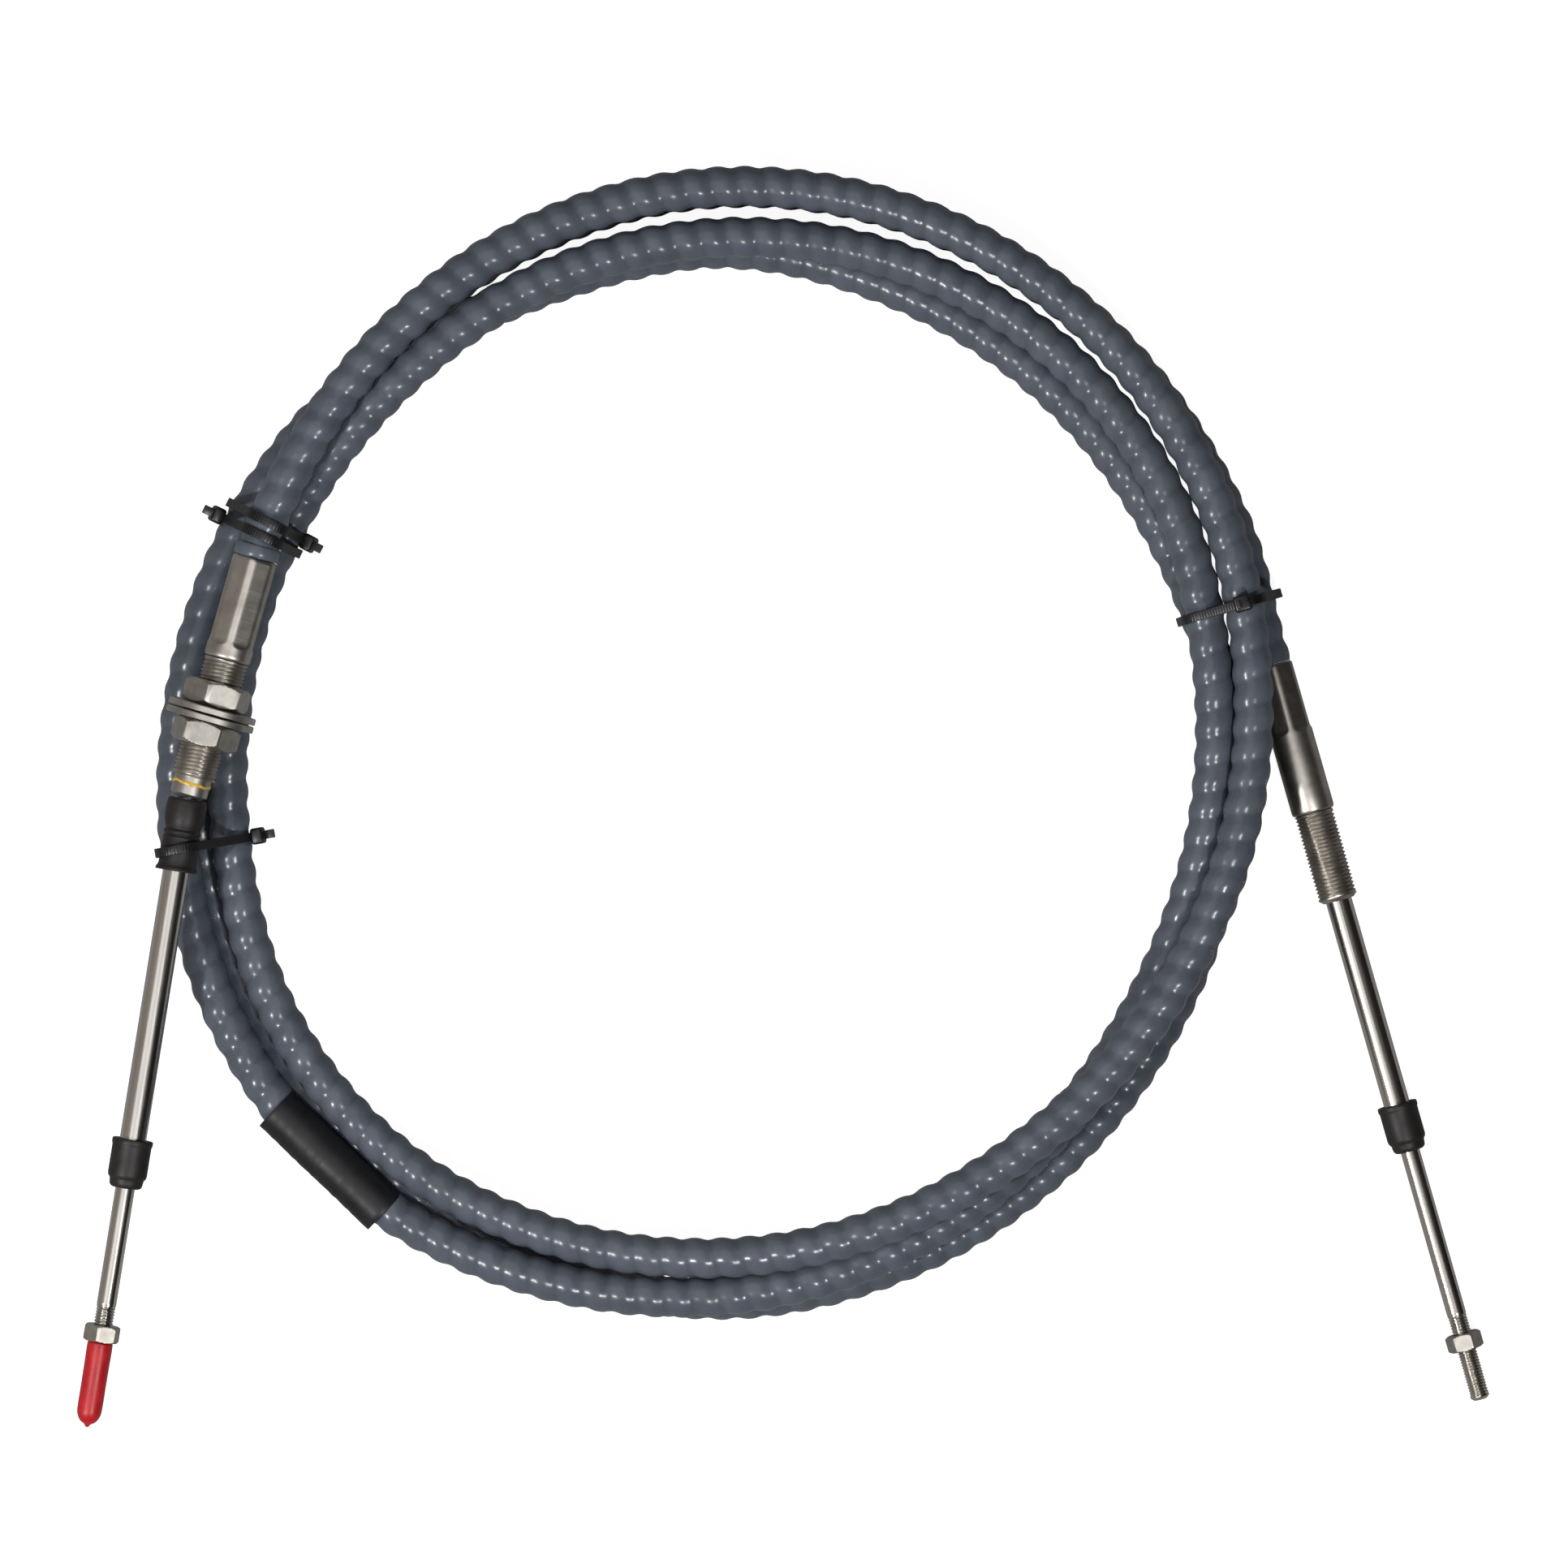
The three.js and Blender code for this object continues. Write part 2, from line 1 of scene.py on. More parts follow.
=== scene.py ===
"""A coiled boat steering cable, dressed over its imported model.

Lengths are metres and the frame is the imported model's: +Z up, origin at the middle
of the coil on the floor.
"""
import math

import bmesh
import bpy
import numpy as np
from bpy.props import FloatProperty, IntProperty, PointerProperty
from mathutils import Matrix, Vector


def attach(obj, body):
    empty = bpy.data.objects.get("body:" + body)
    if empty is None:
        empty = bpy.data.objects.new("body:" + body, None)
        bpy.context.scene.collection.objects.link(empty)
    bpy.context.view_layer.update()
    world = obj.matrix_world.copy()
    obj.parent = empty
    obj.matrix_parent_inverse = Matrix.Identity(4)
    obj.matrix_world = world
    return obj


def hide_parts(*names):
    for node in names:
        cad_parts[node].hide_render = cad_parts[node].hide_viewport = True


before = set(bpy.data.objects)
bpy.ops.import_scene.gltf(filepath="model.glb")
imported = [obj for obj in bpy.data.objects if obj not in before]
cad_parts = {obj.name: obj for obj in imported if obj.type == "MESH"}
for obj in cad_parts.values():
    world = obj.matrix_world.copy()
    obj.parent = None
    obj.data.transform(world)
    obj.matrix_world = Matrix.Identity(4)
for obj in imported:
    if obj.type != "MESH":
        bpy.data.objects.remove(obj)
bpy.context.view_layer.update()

bl_info = {
    "name": "Boat Steering Cable",
    "version": (1, 0, 0),
    "blender": (4, 5, 0),
    "location": "View3D > Sidebar > Steering Cable",
    "description": "Builds a coiled push-pull steering cable with its end fittings",
    "category": "Object",
}

MM = 0.001
TAU = 2 * math.pi

# Sizes shared with the solids, in millimetres and degrees.

RING_RADIUS = 187.2
JACKET_DIAMETER = 14.3
TIE_GAP = 0.6
TIE_THICKNESS = 1.1
OUTLINE_SIDES = 24
TOUCH_GAP = 0.3
STRAIGHT_LEAD = 14.0
# The lowest strands' level: the tie under them lies on the floor.
FLOOR_LAYER = (JACKET_DIAMETER / 2 + TIE_GAP + TIE_THICKNESS) / math.cos(
    math.pi / OUTLINE_SIDES)

HUB_A_HEADING = 254.2
TUBE_A_SWING = 6.67
HUB_B_HEADING = 285.9
SLEEVE_A = (16.8, 15.5, 37.5, 33.0)  # diameter, across the flats, length, length of the flats
SLEEVE_B = (15.65, 14.4, 55.3, 26.0)
THREAD_A = (15.9, 81.0)  # diameter, where it ends
THREAD_B = (14.2, 88.4)
HUB_THREAD_PITCH = 1.411
ROD_THREAD_PITCH = 1.058
ROWS_PER_PITCH = 8
COLLAR_A = (13.4, 87.6)  # diameter, where the hub's nose ends
NUT_FLATS = 21.6
NUT_THICKNESS = 8.6
WASHER = (31.8, 2.4, 0.5)  # diameter, thickness, gap between the two
LOWER_NUT_START = 46.2
TUBE = 9.5
ROD = 7.0
ROD_ENGAGED = 52.1
SEAL = (14.6, 17.5)  # diameter, length
BOOT = (1.2, 26.0, 14.4, 12.6)  # start, length, diameter, waist
TUBE_A_TO_SEAL = 123.9
TUBE_B_TO_SEAL = 76.6
SOCKET_B = 6.0
ROD_A_OUT = 79.0
ROD_B_OUT = 93.3
JAM_NUT = (11.6, 6.0)  # across the flats, thickness
NUTS_TURNED_BY = (13, 32)  # degrees
JAM_NUTS_TURNED_BY = (8, 39)
JAM_NUT_A_AT = 49.4
JAM_NUT_B_AT = 68.6
CAP = (9.0, 30.5)  # diameter, length
LABEL_ANGLE = -494.0
LABEL_HALF_ANGLE = 7.5
LABEL_LENGTH = 54.0
ROUTE_STEP = 5.0  # degrees between the points of the cable's middle line
HUB_MOUTH_GAP = 0.05  # the jacket ends this short of a hub's mouth
GROOVE_POWER = 1.35
RIB_TOP = 0.33  # share of a rib's depth that stands above the solid's radius
ROD_SIDES = 64  # faces round the rods, the rubber pieces and the sleeve
NUT_SIDES = 144
HEAD_SIZE = (4.5, 6.3, 5.9)  # of a tie: outward, along the strap, across it
TAIL_SIZE = (4.4, 1.1, 3.1)

# The stage, in metres, and the camera's sensor in millimetres.
FLOOR_REACH = 6.0
FLOOR_LEVEL = -0.0004
COIL_LEVEL = 0.015  # the plane on which the picture's width is measured
CAMERA_OVER = (0.02223, -0.01053)
SENSOR_WIDTH = 36.0

# The route of the cable, as the solids have it: an angle round the ring in degrees,
# the offset from the ring's middle radius and the level, both in cable diameters.
ROUTE = [
    (157.2, -0.51, 2.57), (147, -0.29, 2.54), (130, 0.16, 2.34), (110, 0.75, 1.83),
    (90, 1.14, 1.33), (70, 1.26, 1.08), (50, 1.16, 1.05), (30, 0.86, 1.13),
    (10, 0.39, 1.34), (-10, -0.03, 1.57), (-30, -0.45, 1.74), (-50, -0.67, 1.83),
    (-70, -0.63, 1.73), (-90, -0.48, 1.4), (-110, -0.27, 1.08), (-130, -0.1, 0.94),
    (-150, -0.2, 0.89), (-170, -0.56, 0.84), (-190, -0.75, 1.01), (-210, -0.8, 1.44),
    (-220, -0.79, 1.7), (-230, -0.73, 1.86), (-240, -0.58, 1.82), (-250, -0.41, 1.65),
    (-270, -0.12, 1.18), (-290, 0.07, 0.85), (-310, 0.08, 0.77), (-330, -0.16, 0.95),
    (-350, -0.6, 1.06), (-370, -0.79, 0.88), (-390, -0.79, 0.76), (-410, -0.45, 0.82),
    (-430, 0.05, 0.96), (-450, 0.49, 1.04), (-470, 0.84, 1.0), (-490, 1.12, 0.95),
    (-510, 1.05, 0.93), (-530, 0.75, 0.9), (-550, 0.44, 1.01), (-570, 0.21, 1.08),
    (-580, 0.09, 1.06), (-590, -0.16, 0.93), (-600, -0.4, 0.72), (-610, -0.48, 0.48),
    (-620, -0.41, 0.28), (-630, -0.31, 0.12), (-650, -0.53, 0), (-670, -0.64, 0),
    (-690, -0.65, 0), (-710, -0.44, 0), (-730, -0.21, 0), (-750, -0.05, 0),
    (-770, 0.21, 0), (-790, 0.48, 0), (-810, 0.67, 0), (-830, 0.55, 0),
    (-850, 0.45, 0), (-870, 0.35, 0), (-890, 0.24, 0), (-910, 0.08, 0),
    (-930, -0.06, 0), (-940, 0.07, 0), (-950, 0.33, 0), (-960, 0.61, 0),
    (-970, 0.85, 0), (-990, 1.23, 0), (-1010, 1.34, 0), (-1030, 1.25, 0),
    (-1050, 1.07, 0), (-1070.7, 0.97, 0),
]


def along(angle, column):
    """One column of the route at an angle, smooth through every row."""
    i = 0
    while i < len(ROUTE) - 2 and angle < ROUTE[i + 1][0]:
        i += 1

    def slope(k):
        before, after = ROUTE[max(k - 1, 0)], ROUTE[min(k + 1, len(ROUTE) - 1)]
        return (after[column] - before[column]) / (after[0] - before[0])

    span = ROUTE[i + 1][0] - ROUTE[i][0]
    u = (angle - ROUTE[i][0]) / span
    return (
        (2 * u**3 - 3 * u**2 + 1) * ROUTE[i][column]
        + (3 * u**2 - 2 * u**3) * ROUTE[i + 1][column]
        + (u**3 - 2 * u**2 + u) * span * slope(i)
        + (u**3 - u**2) * span * slope(i + 1)
    )


def route_point(angle):
    """A point of the cable's middle line, in millimetres."""
    radius = RING_RADIUS + along(angle, 1) * JACKET_DIAMETER
    height = FLOOR_LAYER + along(angle, 2) * JACKET_DIAMETER
    turn = math.radians(angle)
    return Vector((radius * math.cos(turn), radius * math.sin(turn), height))


def heading(degrees):
    return Vector((math.cos(math.radians(degrees)), math.sin(math.radians(degrees)), 0))


MOUTH_A = route_point(ROUTE[0][0])
MOUTH_B = route_point(ROUTE[-1][0])


def catmull(points, per_span):
    """A smooth line through points, evenly parted between each two."""
    p = [Vector(v) for v in points]
    p = [2 * p[0] - p[1]] + p + [2 * p[-1] - p[-2]]
    line = []
    for i in range(1, len(p) - 2):
        a, b, c, d = p[i - 1:i + 3]
        ta = (b - a).length ** 0.5
        tb = ta + (c - b).length ** 0.5
        tc = tb + (d - c).length ** 0.5
        for k in range(per_span):
            t = ta + (tb - ta) * k / per_span

            def mix(u, v, low, high):
                return u * (high - t) / (high - low) + v * (t - low) / (high - low)

            ab, bc, cd = mix(a, b, 0, ta), mix(b, c, ta, tb), mix(c, d, tb, tc)
            line.append(mix(mix(ab, bc, 0, tb), mix(bc, cd, ta, tc), ta, tb))
    line.append(p[-2].copy())
    return line


def cable_line():
    """The cable's middle line from one hub's mouth to the other's, in millimetres."""
    out_a, out_b = -heading(HUB_A_HEADING), -heading(HUB_B_HEADING)
    lead = STRAIGHT_LEAD * 0.6
    points = [MOUTH_A + out_a * HUB_MOUTH_GAP, MOUTH_A + out_a * lead]
    points += [route_point(a) for a in np.arange(147.0, -1060.0, -ROUTE_STEP)]
    points += [MOUTH_B + out_b * lead, MOUTH_B + out_b * HUB_MOUTH_GAP]
    return catmull(points, 5)


def turned_z(degrees):
    return Matrix.Rotation(math.radians(degrees), 4, "Z")


def further(matrix, x):
    """A fitting's frame moved along its own axis."""
    return matrix @ Matrix.Translation((x, 0, 0))


FRAME_A = Matrix.Translation(MOUTH_A) @ turned_z(HUB_A_HEADING)
SWIVEL_A = further(FRAME_A, COLLAR_A[1]) @ turned_z(TUBE_A_SWING)
FRAME_B = Matrix.Translation(MOUTH_B) @ turned_z(HUB_B_HEADING)
# Both ends' tubes: letter, frame, the body they ride on, where the tube and its seal
# start, and from the seal's end, the rod's reach and where its jam nut starts.
ENDS = (
    ("a", SWIVEL_A, "coil", 0.8, TUBE_A_TO_SEAL, ROD_A_OUT, JAM_NUT_A_AT),
    ("b", FRAME_B, "swivel_b_body", THREAD_B[1] - SOCKET_B + 0.4,
     THREAD_B[1] + TUBE_B_TO_SEAL, ROD_B_OUT, JAM_NUT_B_AT),
)


def metres(name, description, default, precision=4):
    """A setting that is a length in metres."""
    return FloatProperty(name=name, description=description, default=default,
                         unit="LENGTH", precision=precision)


class CableSettings(bpy.types.PropertyGroup):
    """Sizes of the ribbed cable."""

    rib_pitch: metres("Rib pitch", "Distance from one rib to the next along the cable",
                      9.8 * MM)
    rib_depth: metres("Rib depth", "Height of a rib above the groove beside it",
                      0.8 * MM, 5)
    ring_step: metres("Ring step", "Distance between the rings of the cable's mesh",
                      1.12 * MM, 5)
    sides: IntProperty(
        name="Sides", description="Faces round the cable", default=22, min=8)


class FittingSettings(bpy.types.PropertyGroup):
    """Sizes of the turned and threaded fittings."""

    hub_thread_depth: metres("Hub thread depth", "Depth of the thread on the two hubs",
                             0.75 * MM, 5)
    rod_thread_depth: metres("Rod thread depth", "Depth of the thread on the two rods",
                             0.5 * MM, 5)
    sides: IntProperty(
        name="Sides", description="Faces round a turned piece", default=72, min=24)


class TieSettings(bpy.types.PropertyGroup):
    """Sizes of the nylon ties."""

    width: metres("Strap width", "Width of a tie's strap", 3.2 * MM)
    rib_spacing: metres("Tooth spacing", "Distance between the teeth of a strap", 1.0 * MM)


class StageSettings(bpy.types.PropertyGroup):
    """Camera height and the picture's width."""

    camera_height: metres("Camera height", "Height of the camera above the floor", 2.4)
    view_width: metres("View width", "Width of the picture on the plane of the coil", 0.5651)


def linear(hex_colour):
    """Linear colour, with full alpha, of an sRGB hex value."""
    parts = [int(hex_colour[i:i + 2], 16) / 255 for i in (1, 3, 5)]
    return [c / 12.92 if c <= 0.04045 else ((c + 0.055) / 1.055) ** 2.4
            for c in parts] + [1.0]


def add_node(tree, kind, values=None, links=None, **settings):
    """Adds one node: its settings, its sockets' values, and links into its sockets.

    A link's source is a socket, or a node whose first output is meant.
    """
    made = tree.nodes.new(kind)
    for name, value in settings.items():
        setattr(made, name, value)
    for socket, value in (values or {}).items():
        made.inputs[socket].default_value = value
    for socket, source in (links or {}).items():
        if isinstance(source, bpy.types.Node):
            source = source.outputs[0]
        tree.links.new(source, made.inputs[socket])
    return made


def empty_tree(owner):
    """The cleared node tree of a new material or world."""
    owner.use_nodes = True
    owner.node_tree.nodes.clear()
    return owner.node_tree


def new_material(name, **principled):
    material = bpy.data.materials.new(name)
    tree = empty_tree(material)
    shader = add_node(tree, "ShaderNodeBsdfPrincipled")
    for socket, value in principled.items():
        shader.inputs[socket.replace("_", " ")].default_value = value
    add_node(tree, "ShaderNodeOutputMaterial", links={"Surface": shader})
    return material, tree, shader


def ramp(tree, source, stops):
    """A colour ramp on a source, from pairs of place and hex colour or grey level."""
    made = add_node(tree, "ShaderNodeValToRGB", links={"Fac": source})
    band = made.color_ramp
    while len(band.elements) < len(stops):
        band.elements.new(0.5)
    for element, (place, tone) in zip(band.elements, stops):
        element.position = place
        element.color = linear(tone) if isinstance(tone, str) else (tone, tone, tone, 1)
    return made.outputs["Color"]


def noise(tree, vector, scale, detail, roughness):
    return add_node(
        tree, "ShaderNodeTexNoise",
        {"Scale": scale, "Detail": detail, "Roughness": roughness},
        {"Vector": vector}).outputs["Fac"]


def stretched(tree, scale):
    """The piece's own map, squeezed so that a pattern runs one way."""
    own_map = add_node(tree, "ShaderNodeUVMap", uv_map="around")
    return add_node(tree, "ShaderNodeMapping", {"Scale": scale},
                    {"Vector": own_map}).outputs[0]


def object_vector(tree):
    return add_node(tree, "ShaderNodeTexCoord").outputs["Object"]


def bump(tree, shader, height, distance, strength):
    made = add_node(tree, "ShaderNodeBump", {"Strength": strength, "Distance": distance},
                    {"Height": height})
    tree.links.new(made.outputs[0], shader.inputs["Normal"])


def vinyl_jacket_material():
    """Extruded PVC over a wound conduit: glossy, blue grey and a little scuffed. The grooves
    are painted darker: painted shade, with a little dust."""
    material, tree, shader = new_material(
        "extruded_pvc_jacket", IOR=1.53, Specular_IOR_Level=0.27)
    place = object_vector(tree)
    # Blotches of about 12 mm and scuffs of about 4 mm.
    cloud = noise(tree, place, 80.0, 4.0, 0.55)
    colour = ramp(tree, cloud, [(0.3, "#464b54"), (0.7, "#525861")])
    # Painted shade in the grooves, partly dust: the groove's depth blends the colour towards a
    # darker grey (#393d45).
    groove = add_node(tree, "ShaderNodeAttribute", attribute_name="groove").outputs["Fac"]
    painted_groove_shade = ramp(tree, groove, [(0.0, 0.0), (0.75, 0.05), (1.0, 0.35)])
    colour_with_painted_shade = add_node(tree, "ShaderNodeMix", {7: linear("#393d45")}, {0: painted_groove_shade, 6: colour},
                     data_type="RGBA")
    tree.links.new(colour_with_painted_shade.outputs[2], shader.inputs["Base Color"])
    scuff = noise(tree, place, 260.0, 2.0, 0.6)
    tree.links.new(ramp(tree, scuff, [(0.35, 0.21), (0.75, 0.29)]), shader.inputs["Roughness"])
    fine = noise(tree, place, 420.0, 2.0, 0.5)
    bump(tree, shader, fine, 0.00003, 0.35)
    return material


def patterned_material(name, principled, patterns, tone, gloss, relief=None):
    """A material whose colour, roughness and relief each follow a noise pattern.

    A pattern is (stretch or None, scale, detail, roughness). Tone and gloss are
    (pattern, stops) and relief is (pattern, distance, strength).
    """
    material, tree, shader = new_material(name, **principled)
    made = {}
    for key, (stretch, *settings) in patterns.items():
        place = stretched(tree, stretch) if stretch else object_vector(tree)
        made[key] = noise(tree, place, *settings)
    for socket, (key, stops) in (("Base Color", tone), ("Roughness", gloss)):
        tree.links.new(ramp(tree, made[key], stops), shader.inputs[socket])
    if relief:
        key, distance, strength = relief
        bump(tree, shader, made[key], distance, strength)
    return material


# Each has a name, shader values, noise patterns, tone, gloss and relief.
MATERIALS = {
    # Drawn and polished stainless steel tube: mirror bright, with fine lines along it.
    "drawn": (
        "polished_drawn_stainless_steel", {"Metallic": 1.0},
        {"lines": ((2600.0, 26.0, 1.0), 1.0, 4.0, 0.6)},
        ("lines", [(0.3, "#b9b4ad"), (0.7, "#d6d2cb")]),
        ("lines", [(0.3, 0.16), (0.75, 0.24)]),
        ("lines", 0.000003, 0.4)),
    # Turned stainless steel: rings of fine tool marks round the piece, satin bright.
    "turned": (
        "turned_stainless_steel", {"Metallic": 1.0},
        {"marks": ((60.0, 3600.0, 1.0), 1.0, 3.0, 0.6),
         "cloud": (None, 160.0, 3.0, 0.5)},
        ("cloud", [(0.3, "#9c9790"), (0.7, "#b8b3ab")]),
        ("marks", [(0.25, 0.32), (0.8, 0.44)]),
        ("marks", 0.000003, 0.4)),
    # Cold-formed and tumbled stainless steel nuts: dull even grey, fine pits.
    "forged": (
        "tumbled_stainless_steel", {"Metallic": 1.0},
        {"cloud": (None, 220.0, 4.0, 0.6), "pits": (None, 3200.0, 3.0, 0.6)},
        ("cloud", [(0.3, "#98948c"), (0.7, "#b4b0a8")]),
        ("pits", [(0.3, 0.34), (0.75, 0.5)]),
        ("pits", 0.000008, 0.5)),
    # Moulded black rubber: satin, warm black, very fine grain.
    "rubber": (
        "moulded_black_rubber", {"IOR": 1.52, "Specular_IOR_Level": 0.3},
        {"cloud": (None, 240.0, 4.0, 0.6), "grain": (None, 2400.0, 3.0, 0.6)},
        ("cloud", [(0.3, "#141211"), (0.75, "#211e1d")]),
        ("grain", [(0.3, 0.42), (0.75, 0.6)]),
        ("grain", 0.00003, 0.5)),
    # Injection-moulded black nylon: smooth, softly glossy, faint flow marks.
    "nylon": (
        "moulded_black_nylon", {"IOR": 1.53, "Specular_IOR_Level": 0.35},
        {"flow": (None, 420.0, 3.0, 0.5)},
        ("flow", [(0.3, "#0b0b0d"), (0.75, "#131316")]),
        ("flow", [(0.3, 0.3), (0.75, 0.46)]),
        ("flow", 0.00004, 0.4)),
    # Heat-shrunk black film, plain: satin with shallow creases round the cable.
    "film": (
        "shrunk_black_film", {"IOR": 1.5, "Specular_IOR_Level": 0.3},
        {"creases": ((40.0, 420.0, 1.0), 1.0, 4.0, 0.55),
         "cloud": (None, 150.0, 3.0, 0.5)},
        ("cloud", [(0.3, "#0f0f11"), (0.75, "#19191c")]),
        ("creases", [(0.3, 0.4), (0.75, 0.56)]),
        ("creases", 0.0001, 0.5)),
    # Dip-moulded red vinyl: soft gloss over a slightly wavy skin.
    "red": (
        "dipped_red_vinyl", {"IOR": 1.53, "Specular_IOR_Level": 0.35,
                             "Subsurface_Weight": 0.08, "Subsurface_Scale": 0.0015},
        {"cloud": (None, 190.0, 3.0, 0.5), "skin": (None, 700.0, 2.0, 0.5)},
        ("cloud", [(0.3, "#9c1119"), (0.7, "#b0181f")]),
        ("cloud", [(0.3, 0.34), (0.7, 0.46)]),
        ("skin", 0.00008, 0.5)),
    # Dried yellow thread lock: amber, uneven, glossy.
    "lock": (
        "dried_thread_lock", {"IOR": 1.5, "Specular_IOR_Level": 0.5},
        {"cloud": (None, 900.0, 4.0, 0.6)},
        ("cloud", [(0.3, "#a07a1c"), (0.75, "#d8b84e")]),
        ("cloud", [(0.3, 0.25), (0.75, 0.5)])),
}
MADE_MATERIALS = {}


def material_for(key):
    if key not in MADE_MATERIALS:
        MADE_MATERIALS[key] = (vinyl_jacket_material() if key == "jacket"
                               else patterned_material(*MATERIALS[key]))
    return MADE_MATERIALS[key]


def linked(name, data):
    """A new object of this data, linked to the scene."""
    obj = bpy.data.objects.new(name, data)
    bpy.context.scene.collection.objects.link(obj)
    return obj


def finish_mesh(name, mesh, sharp_degrees):
    obj = linked(name, mesh)
    mesh.polygons.foreach_set("use_smooth", [True] * len(mesh.polygons))
    mesh.set_sharp_from_angle(angle=math.radians(sharp_degrees))
    mesh.update()
    return obj


def turned_piece(name, rows, matrix, material, sides, dressed, closed=False, sharp=38.0):
    """A piece turned about its own X axis, from rows of (x, radius) in millimetres.

    Either number of a row may be an array round the piece, which gives flats and
    threads. The rows run from tail to nose outside. A closed piece joins its last row
    to its first, and an open one is capped on the axis. Dressed holds the piece's body,
    its finish slot and the solids that it stands for.
    """
    turn = around(sides)
    count = len(rows)
    grid = np.array([
        np.transpose(np.broadcast_arrays(x, radius * np.cos(turn), radius * np.sin(turn)))
        for x, radius in rows])
    last = count if closed else count - 1
    faces, maps = [], []
    steps = [np.linalg.norm(grid[i - 1, 0] - grid[i % count, 0]) for i in range(1, count + 1)]
    travel = np.append(0, np.cumsum(steps))
    girth = TAU * max(float(np.max(r)) for _, r in rows)
    for i in range(last):
        j = (i + 1) % count
        for k in range(sides):
            m = (k + 1) % sides
            faces.append((i * sides + k, i * sides + m, j * sides + m, j * sides + k))
            u0, u1 = girth * k / sides, girth * (k + 1) / sides
            v0, v1 = travel[i], travel[i + 1]
            maps.append(((u0, v0), (u1, v0), (u1, v1), (u0, v1)))
    verts = [tuple(v) for v in grid.reshape(-1, 3)]
    if not closed:
        for i, flip in ((0, True), (count - 1, False)):
            centre = len(verts)
            verts.append((float(np.mean(grid[i, :, 0])), 0.0, 0.0))
            for k in range(sides):
                m = (k + 1) % sides
                ring = (i * sides + k, i * sides + m)
                faces.append((centre, ring[1], ring[0]) if flip else (centre, *ring))
                maps.append(((0, 0), (girth * k / sides, 1), (girth * m / sides, 1)))
    mesh = bpy.data.meshes.new(name)
    mesh.from_pydata([tuple((matrix @ Vector(v)) * MM) for v in verts], [], faces)
    layer = mesh.uv_layers.new(name="around")
    flat = np.array([c for corners in maps for c in corners], dtype=np.float32) * MM
    layer.data.foreach_set("uv", flat.ravel())
    form = bmesh.new()
    form.from_mesh(mesh)
    if form.calc_volume(signed=True) < 0:
        bmesh.ops.reverse_faces(form, faces=form.faces)
    form.to_mesh(mesh)
    form.free()
    mesh.materials.append(material_for(material))
    dress(finish_mesh(name, mesh, sharp), *dressed)


def around(sides):
    return np.arange(sides) * TAU / sides


def hexagon(turn, flats, start, soft=0.12):
    """Radius of a hexagon at each turn, with corners a little rounded."""
    off = (turn - start + math.pi / 6) % (math.pi / 3) - math.pi / 6
    corner = flats / 2 / math.cos(math.pi / 6)
    return np.minimum(flats / 2 / np.cos(off), corner - soft)


def thread_rows(start, end, radius, depth, pitch, sides, fade=0.8):
    """Rows of one screw thread, its depth fading in over fade pitches at both ends."""
    turn = around(sides)
    rows = []
    count = max(4, int(round((end - start) / pitch * ROWS_PER_PITCH)))
    for i in range(count + 1):
        x = start + (end - start) * i / count
        phase = (x / pitch - turn / TAU) % 1.0
        cut = np.clip(np.abs(2 * phase - 1) * 1.25 - 0.12, 0, 1)
        edge = min(1.0, min(x - start, end - x) / (fade * pitch))
        rows.append((x, radius - depth * edge * (1 - cut)))
    return rows


def dress(piece, body, slot, *nodes):
    """Rides the piece on its body and hides the solids that it stands for. The slot is not
    used.
    """
    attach(piece, body)
    if nodes:
        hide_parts(*nodes)


def node_group(name, inputs):
    """A geometry node tree with the named inputs, from titles to socket kinds."""
    tree = bpy.data.node_groups.new(name, "GeometryNodeTree")
    for way in ("INPUT", "OUTPUT"):
        tree.interface.new_socket(
            name="Geometry", in_out=way, socket_type="NodeSocketGeometry")
    for title, kind in inputs.items():
        tree.interface.new_socket(
            name=title, in_out="INPUT", socket_type=f"NodeSocket{kind}")
    return tree


def math_node(tree, operation, *values):
    """A math node's result. Each value is a number or a socket."""
    made = add_node(tree, "ShaderNodeMath", operation=operation)
    for socket, value in zip(made.inputs, values):
        if isinstance(value, (int, float)):
            socket.default_value = value
        else:
            tree.links.new(value, socket)
    return made.outputs[0]


def vector_node(tree, operation, links):
    return add_node(tree, "ShaderNodeVectorMath", links=links, operation=operation).outputs[0]


def captured(tree, geometry, items):
    """Keeps fields on a geometry: items are (data type, title, field)."""
    made = add_node(tree, "GeometryNodeCaptureAttribute", links={"Geometry": geometry})
    for kind, title, _ in items:
        made.capture_items.new(kind, title)
    outs = []
    for i, (_, _, field) in enumerate(items):
        tree.links.new(field, made.inputs[i + 1])
        outs.append(made.outputs[i + 1])
    return made.outputs[0], outs


def closed_tree(tree, last, material):
    """Ends a tree: instances made real, the material set, and the output."""
    real = add_node(tree, "GeometryNodeRealizeInstances", links={"Geometry": last})
    painted = add_node(tree, "GeometryNodeSetMaterial", links={
        "Geometry": real, "Material": material})
    add_node(tree, "NodeGroupOutput", links={"Geometry": painted})
    return tree


